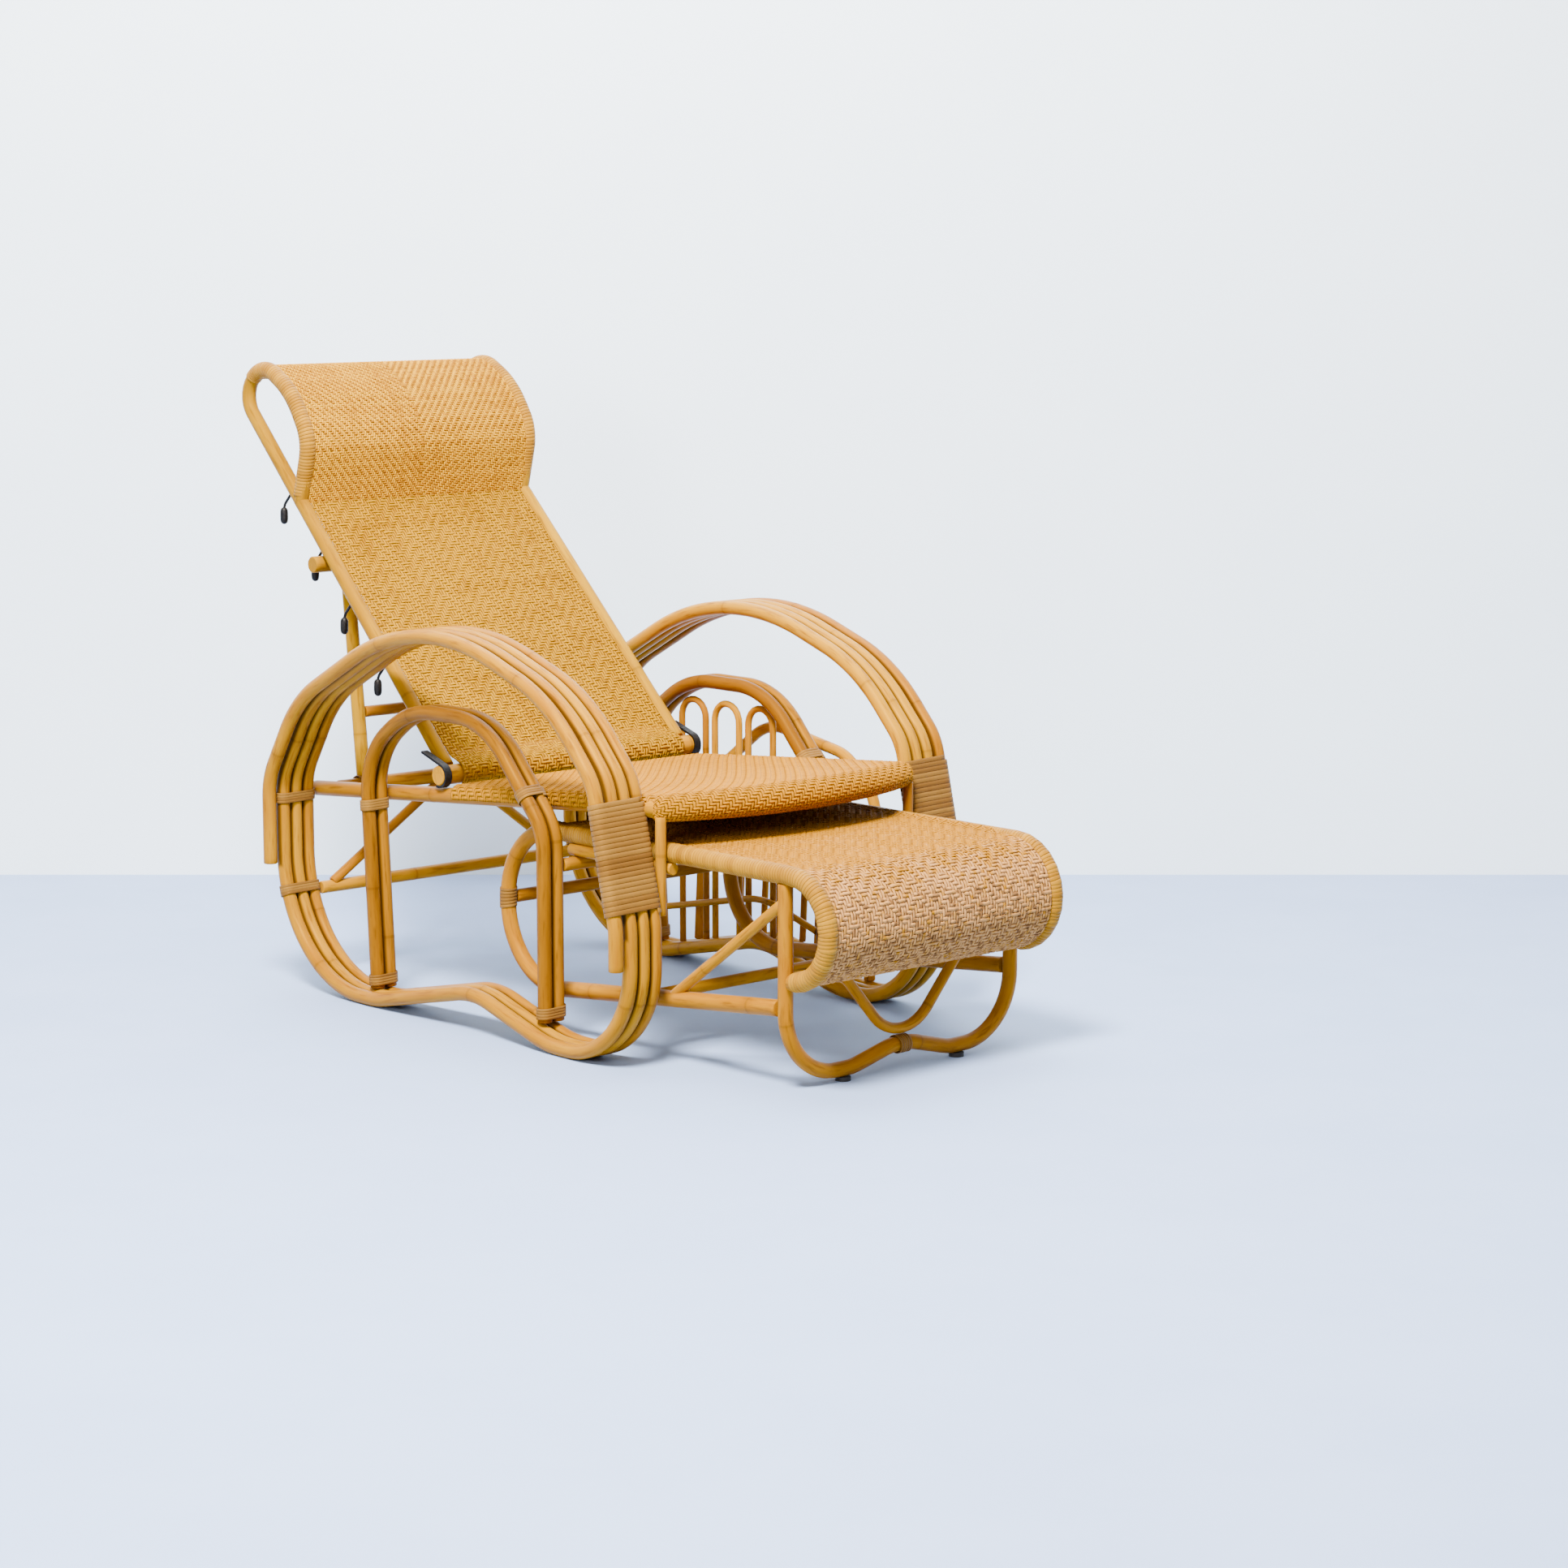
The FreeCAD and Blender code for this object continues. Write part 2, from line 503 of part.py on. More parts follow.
def make_seat():
    """Seat rails, bowed front rail, cross rods and the woven seat with its front roll."""
    x = dim("seat_rail_x")
    rails = []
    for side_name, side in SIDES:
        front = Vector(side * x, dim("seat_rail_front"), seat_z(dim("seat_rail_front")))
        rear = Vector(side * x, dim("seat_rail_rear"), seat_z(dim("seat_rail_rear")))
        rails.append(keep(f"{side_name}_seat_rail", straight_pole(f"{side_name}_seat_rail", rear, front, "rail_pole")))

    height = dim("seat_front_height")

    def front_bow(label, half_length, diameter):
        """Pole along the bowed front edge."""
        sagitta = dim("seat_front_end") - dim("seat_front_middle")
        radius = (x ** 2 + sagitta ** 2) / (2 * sagitta)
        centre_y = dim("seat_front_middle") + radius
        end_y = centre_y - math.sqrt(radius ** 2 - half_length ** 2)
        path = doc.addObject("Part::Feature", f"{label}_path")
        ends = [Vector(sign * half_length, end_y, height) for sign in (-1, 1)]
        middle = Vector(0, dim("seat_front_middle"), height)
        arc = Part.Arc(ends[0], middle, ends[1]).toShape()
        path.Shape = Part.Wire([arc])
        section = doc.addObject("Part::Circle", f"{label}_section")
        section.setExpression("Radius", diameter)
        section.Placement = Placement(ends[0], Rotation(Z_AXIS, arc.tangentAt(arc.FirstParameter)))
        bow = doc.addObject("Part::Sweep", label)
        bow.Sections = [section]
        bow.Spine = path
        bow.Solid = True
        return bow

    rail = front_bow("front_seat_rail_pole", x, "Sheet.front_rail_pole / 2")
    keep("front_seat_rail", coped("front_seat_rail", rail, rails))

    rods = []
    inside = x - half("rail_pole") - dim("seat_gap")
    lift = half("rail_pole") - half("thin_pole") - dim("seat_gap")
    for name in ("seat_rod_first", "seat_rod_second"):
        y = dim(name)
        rods.append(cross_pole(name, inside, y, seat_z(y) + lift, "thin_pole"))
    keep("seat_cross_rods", group("seat_cross_rods", rods))

    slope = Rotation(X_AXIS, -dim("seat_slope"))
    rise = half("rail_pole") + dim("seat_gap")
    sheet_frame = Placement(Vector(0, 0, dim("seat_height")) + slope.multVec(Z_AXIS * rise), slope)
    wide = dim("seat_half_width")
    stretch = 1 / math.cos(math.radians(dim("seat_slope")))
    rear = dim("seat_rear_edge") * stretch
    front = dim("seat_front_end") * stretch
    nose = dim("seat_front_middle") * stretch
    corners = [Vector(-wide, front, 0), Vector(-wide, rear, 0), Vector(wide, rear, 0), Vector(wide, front, 0)]
    placed = [sheet_frame.multVec(point) for point in corners]
    tip = sheet_frame.multVec(Vector(0, nose, 0))
    edges = [Part.LineSegment(placed[k], placed[k + 1]).toShape() for k in range(3)]
    edges.append(Part.Arc(placed[3], tip, placed[0]).toShape())
    flat = prism("seat_sheet", Part.Wire(edges), slope.multVec(Z_AXIS), "Sheet.weave_wall")
    roll = front_bow("seat_roll", dim("seat_roll_half"), "Sheet.seat_roll / 2")
    bore = front_bow("seat_roll_bore", x, "Sheet.front_rail_pole / 2 + Sheet.binding_fit")
    whole = doc.addObject("Part::Fuse", "seat_sheet_and_roll")
    whole.Base = flat
    whole.Tool = roll
    keep("seat_panel", coped("seat_panel", whole, [bore]))


def make_rear_frame():
    """Rear rail, stretcher and the two braces between them."""
    rail_y = dim("rear_rail_y")
    inside = dim("seat_rail_x") - half("rail_pole") - dim("seat_gap")
    rail = keep("rear_seat_rail", cross_pole("rear_seat_rail", inside, rail_y, seat_z(rail_y), "rail_pole"))
    reach = abs(cane_x(1, 3)) - half("arm_cane") - dim("binding_fit") - dim("binding_wall") - dim("seat_gap")
    low = (dim("stretcher_y"), dim("stretcher_z"))
    stretcher = keep("rear_stretcher", cross_pole("rear_stretcher", reach, *low, "cross_pole"))
    braces = []
    for side_name, side in SIDES:
        top = Vector(side * dim("brace_top_x"), rail_y, seat_z(rail_y))
        foot = Vector(side * dim("brace_foot_x"), *low)
        run = (foot - top).normalize()
        name = f"{side_name}_rear_brace"
        pole = straight_pole(f"{name}_pole", top, foot - run * half("cross_pole"), "slim_pole")
        braces.append(coped(name, pole, [rail, stretcher]))
    keep("rear_braces", group("rear_braces", braces))


def make_guides():
    """Guide rails, posts and stop rail that the footrest slides in."""
    slide_z = dim("foot_rail_z") - half("rail_pole") - dim("turn_gap") - half("thin_pole")
    for side_name, side in SIDES:
        x = side * dim("guide_x")
        front = Vector(x, dim("guide_front"), slide_z)
        rear = Vector(x, dim("guide_rear"), slide_z)
        keep(f"{side_name}_guide_rail", straight_pole(f"{side_name}_guide_rail", front, rear, "thin_pole"))
        post_x = side * (dim("guide_x") + half("thin_pole") + half("slim_pole") + dim("seat_gap"))
        y = dim("guide_post_y")
        foot = Vector(post_x, y, dim("guide_post_foot"))
        head = Vector(post_x, y, seat_z(y) - half("rail_pole") - 2 * dim("turn_gap"))
        keep(f"{side_name}_guide_post", straight_pole(f"{side_name}_guide_post", foot, head, "slim_pole"))
    stop_z = slide_z - half("thin_pole") - half("cross_pole") - dim("seat_gap")
    reach = abs(cane_x(1, 3)) - half("arm_cane") - dim("seat_gap")
    keep("footrest_stop_rail", cross_pole("footrest_stop_rail", reach, dim("arch_front_y"), stop_z, "cross_pole"))


def hairpin(label, middle, width, top, frame, settle=0):
    """Bent spindle with two legs that stand on the bottom rail."""
    bend = width / 2
    legs = [middle + bend, middle - bend]
    feet = [rail_top_z(y, half("rack_spindle")) - settle for y in legs]
    corners = [(legs[0], feet[0], 0), (legs[0], top, bend * 0.98), (legs[1], top, bend * 0.98), (legs[1], feet[1], 0)]
    return bent_pole(label, frame(corners), "rack_spindle")


def make_rack():
    """Inner spindles and tie rail in the left arch, and a leaning outer wall."""
    inner_x = (cane_x(1, 2) + cane_x(1, 3)) / 2
    spindles = []
    width, top, settle = dim("hairpin_width"), dim("hairpin_top"), dim("rack_settle")
    for step in (-1, 0, 1):
        middle = dim("rack_middle") + step * dim("rack_spacing")
        spindle = hairpin(f"inner_spindle_{step + 2}", middle, width, top, side_plane(inner_x), settle)
        spindles.append(spindle)
    keep("rack_inner_spindles", group("rack_inner_spindles", spindles))

    tie_x = inner_x - dim("rack_spindle") - dim("seat_gap")
    reach = half("arm_cane") + dim("binding_fit") + dim("binding_wall") + dim("seat_gap")
    tie_ends = [dim("arch_rear_foot_y") - reach, dim("arch_front_y") + reach]
    rises = [bottom_rail_z(y) + dim("rack_tie_rise") for y in tie_ends]
    tie_corner = (dim("saddle_y"), dim("saddle_z") + dim("rack_tie_rise"), dim("saddle_bend"))
    tie = [(tie_ends[0], rises[0], 0), tie_corner, (tie_ends[1], rises[1], 0)]
    keep("rack_tie_rail", bent_pole("rack_tie_rail", side_plane(tie_x)(tie), "rack_spindle"))

    outer_x = cane_x(1, 1)
    lean = Rotation(Y_AXIS, dim("rack_lean"))

    def leaning(corners):
        """Place side-view corners on the outward leaning plane of the outer wall."""
        foot = Vector(outer_x, 0, 0)
        return [(foot + lean.multVec(Vector(0, y, z)), bend) for y, z, bend in corners]

    bend = dim("rack_bend")
    radius = half("thin_pole")
    arch = [
        (dim("rack_rear"), rail_top_z(dim("rack_rear"), radius), 0),
        (dim("rack_rear"), dim("rack_rear_z"), bend),
        (dim("rack_back"), dim("rack_back_z"), bend),
        (dim("rack_fore"), dim("rack_fore_z"), bend),
        (dim("rack_front"), dim("rack_front_z"), bend),
        (dim("rack_front"), rail_top_z(dim("rack_front"), radius), 0),
    ]
    keep("rack_outer_arch", bent_pole("rack_outer_arch", leaning(arch), "thin_pole"))
    spindles = []
    for step in (-1, 0, 1):
        middle = dim("outer_hairpin_middle") + step * dim("outer_hairpin_spacing")
        top = dim("outer_hairpin_top")
        spindles.append(hairpin(f"outer_spindle_{step + 2}", middle, width, top, leaning))
    keep("rack_outer_spindles", group("rack_outer_spindles", spindles))


def back_frame():
    """Frame of the backrest, its Z along the stiles and its Y to the rear."""
    hinge = Vector(0, dim("hinge_y"), dim("hinge_z"))
    return Placement(hinge, Rotation(X_AXIS, dim("back_angle") - 90))


def stile_frame(side):
    """Frame of one stile, which leans inward to the headrest."""
    lean = Placement(Vector(side * dim("stile_x"), 0, 0), Rotation(Y_AXIS, -side * dim("stile_taper")))
    return back_frame().multiply(lean)


def stile_offset(t):
    """How far the stile's centre line lies behind the hinge pole."""
    return dim("stile_back") * t / dim("stile_top")


def make_stile(side_name, side):
    """Stile that bends round into the headrest hoop, drilled for its iron hooks."""
    frame = stile_frame(side)

    def local(n, t):
        """Point behind and along the stile."""
        return frame.multVec(Vector(0, n, t))

    top = dim("stile_top")
    start = local(stile_offset(half("hinge_pole")), half("hinge_pole") + 3 * dim("seat_gap"))
    straight = straight_pole(f"{side_name}_stile_pole", start, local(dim("stile_back"), top), "stile_pole")
    hoop = [
        (local(dim("stile_back"), top), 0),
        (local(dim("hoop_rear"), dim("hoop_top")), dim("hoop_rear_bend")),
        (local(dim("hoop_lip"), dim("hoop_top")), dim("hoop_lip_bend")),
        (local(dim("hoop_brow"), dim("hoop_brow_t")), dim("hoop_brow_bend")),
        (local(dim("hoop_chin"), dim("hoop_chin_t")), dim("hoop_chin_bend")),
        (local(stile_offset(dim("hoop_foot_t")), dim("hoop_foot_t")), 0),
    ]
    bent = bent_pole(f"{side_name}_stile_hoop", hoop, "stile_pole")
    whole = doc.addObject("Part::Fuse", f"{side_name}_stile_whole")
    whole.Base = straight
    whole.Tool = bent
    hooks = []
    sockets = []
    angle = math.radians(dim("hook_angle"))
    finger = dim("hook_finger")
    for name in ("hook_first", "hook_second", "hook_third", "hook_fourth"):
        t = dim(name) - dim("hook_rest") + half("hook_wire")
        surface = stile_offset(t) + half("stile_pole")
        corner = surface + dim("hook_reach")
        path = [
            (local(surface - dim("hook_socket"), t), 0),
            (local(corner, t), dim("hook_bend")),
            (local(corner + finger * math.sin(angle), t - finger * math.cos(angle)), 0),
        ]
        label = f"{side_name}_{name}"
        corner_point, tip = path[1][0], path[2][0]
        bare = (tip - corner_point).normalize() * dim("hook_bare")
        hook = doc.addObject("Part::Fuse", label)
        hook.Base = bent_pole(f"{label}_wire", path, "hook_wire")
        hook.Tool = straight_pole(f"{label}_finger", corner_point + bare, tip, "hook_iron")
        hooks.append(hook)
        socket = straight_pole(f"{label}_socket", path[0][0], path[1][0], "hook_wire")
        socket.setExpression("Radius", "Sheet.hook_wire / 2 + Sheet.hook_play")
        sockets.append(socket)
    keep(f"{side_name}_back_stile", coped(f"{side_name}_back_stile", whole, sockets))
    keep(f"{side_name}_prop_hooks", group(f"{side_name}_prop_hooks", hooks))


def lofted_panel(label, outline, inset):
    """Panel between the two stile planes, each end parallel to its stile."""
    sections = []
    for side_name, side in SIDES:
        end = doc.addObject("Part::Feature", f"{label}_{side_name}_end")
        shape = outline()
        shape.Placement = stile_frame(side).multiply(Placement(Vector(-side * inset, 0, 0), Rotation()))
        end.Shape = shape
        sections.append(end)
    panel = doc.addObject("Part::Loft", label)
    panel.Sections = sections
    panel.Solid = True
    panel.Ruled = True
    return panel


def make_back_panels():
    """Woven back, woven headrest and the cross rails behind them."""
    wall = dim("back_weave_wall") / 2
    inset = half("stile_pole") + dim("seat_gap") * 2

    def sheet_outline(corners, middle):
        """Section of a woven sheet along a bent line, its middle beside the line."""
        rear = bent_path(corners).makeOffset2D(middle - wall, 0, False, True)
        return rear.makeOffset2D(2 * wall, 0, True, True).OuterWire

    def back_outline():
        """Section of the back weave beside a stile, turned round the front of the hinge pole."""
        reach = half("hinge_pole") + dim("seat_gap") + wall
        knee, head = [Vector(0, stile_offset(t) + dim("panel_front"), t) for t in (dim("panel_knee"), dim("panel_head"))]
        lean = math.atan2(-knee.y, knee.z) + math.acos(reach / knee.Length)
        run = reach * (1 + math.cos(lean)) / math.sin(lean)
        turn = Vector(0, -reach * math.sin(lean) - run * math.cos(lean), -reach)
        corners = [(Vector(0, dim("panel_foot"), -reach), 0), (turn, reach)]
        corners += [(knee, dim("panel_knee_bend")), (head, 0)]
        return sheet_outline(corners, 0)

    keep("back_panel", lofted_panel("back_panel", back_outline, inset))

    def headrest_outline():
        """Section of the headrest weave, over the front and top of the hoop."""
        foot_t = dim("panel_head") + dim("turn_gap")
        corners = [
            (Vector(0, stile_offset(foot_t), foot_t), 0),
            (Vector(0, dim("hoop_chin"), dim("hoop_chin_t")), dim("hoop_chin_bend")),
            (Vector(0, dim("hoop_brow"), dim("hoop_brow_t")), dim("hoop_brow_bend")),
            (Vector(0, dim("hoop_lip"), dim("hoop_top")), dim("hoop_lip_bend")),
            (Vector(0, dim("hoop_rear") - dim("hoop_rear_bend"), dim("hoop_top")), 0),
        ]
        return sheet_outline(corners, -dim("panel_front"))

    keep("headrest_panel", lofted_panel("headrest_panel", headrest_outline, inset))

    rails = []
    for name in ("back_rail_low", "back_rail_high"):
        t = dim(name)
        inside = dim("stile_x") - t * math.tan(math.radians(dim("stile_taper"))) - half("stile_pole") - dim("binding_fit")
        n = stile_offset(t) + dim("panel_front") + wall + half("thin_pole") + dim("seat_gap")
        ends = [back_frame().multVec(Vector(sign * inside, n, t)) for sign in (-1, 1)]
        rails.append(straight_pole(name, ends[0], ends[1], "thin_pole"))
    keep("back_cross_rails", group("back_cross_rails", rails))


def make_hinge():
    """Hinge pole and the iron straps that hold its ends on the seat rails."""
    keep("hinge_pole", cross_pole("hinge_pole", dim("hinge_half"), dim("hinge_y"), dim("hinge_z"), "hinge_pole"))
    inner = half("hinge_pole") + dim("turn_gap")
    outer = inner + dim("iron_wall")
    first = math.radians(dim("strap_start"))
    last = math.radians(dim("strap_end"))
    tail = Vector(0, math.sin(last), -math.cos(last)) * dim("strap_tail")

    def rim(radius, angle, x):
        """Point on the strap round the pole."""
        return Vector(x, dim("hinge_y") + radius * math.cos(angle), dim("hinge_z") + radius * math.sin(angle))

    for side_name, side in SIDES:
        x = side * dim("strap_inner_x")
        front = (first + last) / 2 + math.pi
        inner_ends = [rim(inner, angle, x) for angle in (first, last)]
        outer_ends = [rim(outer, angle, x) for angle in (first, last)]
        edges = [
            Part.Arc(inner_ends[0], rim(inner, front, x), inner_ends[1]).toShape(),
            Part.LineSegment(inner_ends[1], inner_ends[1] + tail).toShape(),
            Part.LineSegment(inner_ends[1] + tail, outer_ends[1] + tail).toShape(),
            Part.LineSegment(outer_ends[1] + tail, outer_ends[1]).toShape(),
            Part.Arc(outer_ends[1], rim(outer, front, x), outer_ends[0]).toShape(),
            Part.LineSegment(outer_ends[0], inner_ends[0]).toShape(),
        ]
        label = f"{side_name}_hinge_strap"
        keep(label, prism(label, Part.Wire(edges), X_AXIS * side, "Sheet.strap_width"))


def rod_place():
    """Centre of the prop rod, between the second hook and the stile."""
    rod = half("prop_rod") + dim("rod_play")
    t = dim("hook_second") - dim("hook_rest") - rod
    return back_frame().multVec(Vector(0, stile_offset(t) + half("stile_pole") + rod, t))


def make_prop():
    """Prop that turns on the rear rail and carries the rod."""
    foot = Vector(0, dim("rear_rail_y"), seat_z(dim("rear_rail_y")))
    head = rod_place()
    rise = (head - foot).normalize()
    ring_outer = half("rail_pole") + dim("turn_gap") + dim("prop_ring_wall")
    keep("prop_rod", cross_pole("prop_rod", dim("rod_half"), head.y, head.z, "prop_rod"))
    rings = []
    for side_name, side in SIDES:
        shift = X_AXIS * side * dim("prop_x")
        low = foot + shift + rise * (ring_outer + dim("seat_gap"))
        high = head + shift - rise * (half("prop_rod") + dim("seat_gap"))
        keep(f"{side_name}_prop_pole", straight_pole(f"{side_name}_prop_pole", low, high, "prop_pole"))
        along_rail = X_AXIS * dim("prop_ring_width") / 2
        ends = (foot + shift - along_rail, foot + shift + along_rail)
        name = f"{side_name}_prop_ring"
        ring = straight_pole(name, *ends, "rail_pole")
        ring.setExpression("Radius", "Sheet.rail_pole / 2 + Sheet.turn_gap + Sheet.prop_ring_wall")
        bore = straight_pole(f"{name}_bore", *ends, "rail_pole")
        bore.setExpression("Radius", "Sheet.rail_pole / 2 + Sheet.turn_gap")
        rings.append(coped(name, ring, [bore]))
    keep("prop_foot_bindings", group("prop_foot_bindings", rings))
    rung = foot + rise * dim("prop_rung")
    inside = dim("prop_x") - half("prop_pole") - dim("seat_gap")
    keep("prop_rung", cross_pole("prop_rung", inside, rung.y, rung.z, "thin_pole"))


def make_footrest():
    """Sliding footrest: bent side poles, front leg, braces, cross poles and weave."""
    post_y = dim("foot_post_y")
    rail_z = dim("foot_rail_z")
    roll = dim("foot_roll")
    roll_front = dim("foot_roll_y") - roll
    roll_low = rail_z - 2 * roll
    reach = half("leg_pole") + dim("seat_gap")
    side_path = [
        (post_y + reach + dim("foot_runner_clear"), dim("foot_runner_front"), 0),
        (dim("foot_rear"), dim("foot_runner_rear"), dim("foot_rear_bend")),
        (dim("foot_rear"), rail_z, dim("foot_rear_bend")),
        (roll_front, rail_z, roll - dim("seat_gap")),
        (roll_front, roll_low, roll - dim("seat_gap")),
        (post_y - reach, roll_low, 0),
    ]
    x = dim("foot_x")
    run_rise = (dim("foot_runner_front") - dim("foot_runner_rear")) / (post_y + reach - dim("foot_rear"))

    def runner_z(y):
        """Height of the lower run, which climbs to the front."""
        return dim("foot_runner_rear") + run_rise * (y - dim("foot_rear"))

    sides = {}
    for side_name, side in SIDES:
        label = f"{side_name}_footrest_side_pole"
        sides[side] = keep(label, bent_pole(label, side_plane(side * x)(side_path), "rail_pole"))

    post_top = rail_z - half("rail_pole") - dim("seat_gap")
    half_leg = [
        (x, post_top, 0),
        (x, dim("leg_lobe_z"), dim("leg_corner_bend")),
        (dim("leg_lobe_x"), dim("leg_lobe_z"), dim("leg_lobe_bend")),
        (dim("leg_middle_x"), dim("leg_middle_z"), dim("leg_middle_bend")),
    ]
    leg_path = [(Vector(-a, post_y, z), bend) for a, z, bend in half_leg]
    leg_path += [(Vector(a, post_y, z), bend) for a, z, bend in reversed(half_leg)]
    leg = keep("footrest_front_leg", bent_pole("footrest_front_leg", leg_path, "leg_pole"))

    between_posts = x - reach
    between_rails = x - half("rail_pole") - dim("seat_gap")
    bearer_z = rail_z + dim("foot_weave_rise") - dim("weave_wall") / 2 - half("thin_pole") - dim("seat_gap")
    front_bar = cross_pole("footrest_front_bar", between_posts, post_y, roll_low, "cross_pole")
    bend_z = rail_z - dim("foot_rear_bend")
    bearers = [
        cross_pole("footrest_bearer_front", between_rails, dim("panel_bearer_front"), bearer_z, "thin_pole"),
        cross_pole("footrest_bearer_rear", between_rails, dim("panel_bearer_rear"), bearer_z, "thin_pole"),
    ]
    run_bar_y = dim("runner_bearer")
    bars = [
        front_bar,
        cross_pole("footrest_rear_bar", between_rails, dim("foot_rear"), bend_z, "cross_pole"),
        *bearers,
        cross_pole("footrest_runner_bar", between_rails, run_bar_y, runner_z(run_bar_y), "thin_pole"),
    ]
    keep("footrest_cross_poles", group("footrest_cross_poles", bars))

    v_path = [
        (Vector(-dim("v_brace_top"), post_y, roll_low), 0),
        (Vector(0, post_y, dim("v_brace_dip")), dim("v_brace_bend")),
        (Vector(dim("v_brace_top"), post_y, roll_low), 0),
    ]
    v_pole = bent_pole("footrest_v_pole", v_path, "slim_pole")
    keep("footrest_v_brace", coped("footrest_v_brace", v_pole, [front_bar]))
    diagonals = []
    for side_name, side in SIDES:
        low = Vector(side * x, dim("diagonal_foot_y"), runner_z(dim("diagonal_foot_y")))
        high = Vector(side * x, post_y, dim("diagonal_top_z"))
        name = f"{side_name}_diagonal"
        pole = straight_pole(f"{name}_pole", low, high, "slim_pole")
        diagonals.append(coped(name, pole, [sides[side], leg]))
    keep("footrest_diagonals", group("footrest_diagonals", diagonals))

    ends = [Vector(sign * dim("leg_binding_half"), post_y, dim("leg_middle_z")) for sign in (-1, 1)]
    sleeve = straight_pole("footrest_leg_sleeve", *ends, "leg_pole")
    sleeve.setExpression("Radius", "Sheet.leg_pole / 2 + Sheet.binding_fit + Sheet.binding_wall")
    bore = straight_pole("footrest_leg_sleeve_bore", *ends, "leg_pole")
    bore.setExpression("Radius", "Sheet.leg_pole / 2 + Sheet.binding_fit")
    keep("footrest_leg_binding", coped("footrest_leg_binding", sleeve, [bore]))

    glides = []
    for side_name, side in SIDES:
        place = Vector(side * dim("glide_x"), post_y, 0)
        glides.append(straight_pole(f"{side_name}_glide", place, place + Z_AXIS * dim("glide_height"), "glide_size"))
    keep("footrest_glides", group("footrest_glides", glides))

    outer = roll + dim("foot_weave_rise") + dim("weave_wall") / 2
    inner = outer - dim("weave_wall")
    centre = Vector(-between_rails, dim("foot_roll_y"), rail_z - roll)

    def arc(radius, from_top):
        """Half round of the front roll, drawn from the top or from below."""
        points = [centre + Z_AXIS * radius, centre - Y_AXIS * radius, centre - Z_AXIS * radius]
        if not from_top:
            points.reverse()
        return Part.Arc(*points).toShape()

    rear_top = Vector(-between_rails, dim("foot_panel_rear"), centre.z + outer)
    rear_low = Vector(-between_rails, dim("foot_panel_rear"), centre.z + inner)
    outline = [
        Part.LineSegment(rear_top, centre + Z_AXIS * outer).toShape(),
        arc(outer, True),
        Part.LineSegment(centre - Z_AXIS * outer, centre - Z_AXIS * inner).toShape(),
        arc(inner, False),
        Part.LineSegment(centre + Z_AXIS * inner, rear_low).toShape(),
        Part.LineSegment(rear_low, rear_top).toShape(),
    ]
    width = "2 * (Sheet.foot_x - Sheet.rail_pole / 2 - Sheet.seat_gap)"
    sheet = prism("footrest_sheet", Part.Wire(outline), X_AXIS, width)
    wraps = []
    for side_name, side in SIDES:
        name = f"{side_name}_footrest_wrap"
        ends = [Vector(side * x, y, rail_z) for y in (dim("foot_panel_rear"), dim("foot_wrap_front"))]
        tube = straight_pole(f"{name}_tube", *ends, "rail_pole")
        tube.setExpression("Radius", "Sheet.rail_pole / 2 + Sheet.seat_gap + Sheet.edge_wrap")
        bore = straight_pole(f"{name}_bore", *ends, "rail_pole")
        bore.setExpression("Radius", "Sheet.rail_pole / 2 + Sheet.seat_gap")
        under = doc.addObject("Part::Box", f"{name}_under")
        under.Width = dim("foot_panel_rear") - dim("foot_wrap_front")
        under.Length = 2 * dim("rail_pole")
        under.Height = dim("rail_pole")
        under.Placement.Base = Vector(side * x - dim("rail_pole"), ends[1].y, rail_z - dim("rail_pole"))
        wraps.append(coped(name, tube, [bore, under, *bearers]))
    panel = doc.addObject("Part::MultiFuse", "footrest_panel")
    panel.Shapes = [sheet] + wraps
    keep("footrest_panel", panel)


def build():
    """Make every sub-part of the chair."""
    for side_name, side in SIDES:
        make_arm_loops(side_name, side)
        make_arch(side_name, side)
        make_stile(side_name, side)
    make_seat()
    make_rear_frame()
    make_guides()
    make_rack()
    make_back_panels()
    make_hinge()
    make_prop()
    make_footrest()
    doc.recompute()


def export():
    """Check every object and write one file for each sub-part."""
    for item in doc.Objects:
        if "Invalid" in item.State or "Error" in item.State:
            raise ValueError(f"{item.Label} failed to build")
    for label, item in parts.items():
        if item.Shape.isNull() or not item.Shape.isValid():
            raise ValueError(f"{label} has no valid shape")
    os.makedirs("parts", exist_ok=True)
    whole = FreeCAD.BoundBox()
    for label, item in parts.items():
        item.Shape.exportStep(f"parts/{label}.step")
        whole.add(item.Shape.BoundBox)
    print(len(parts), "parts in", whole)


build()
export()
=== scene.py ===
"""A reclining rattan lounge chair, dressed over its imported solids.

The sitter faces -Y, and the rack is on +X. Lengths are in millimetres, those of meshes and stage in metres.
"""

import math
import random

import bpy
import numpy as np
from mathutils import Matrix, Vector


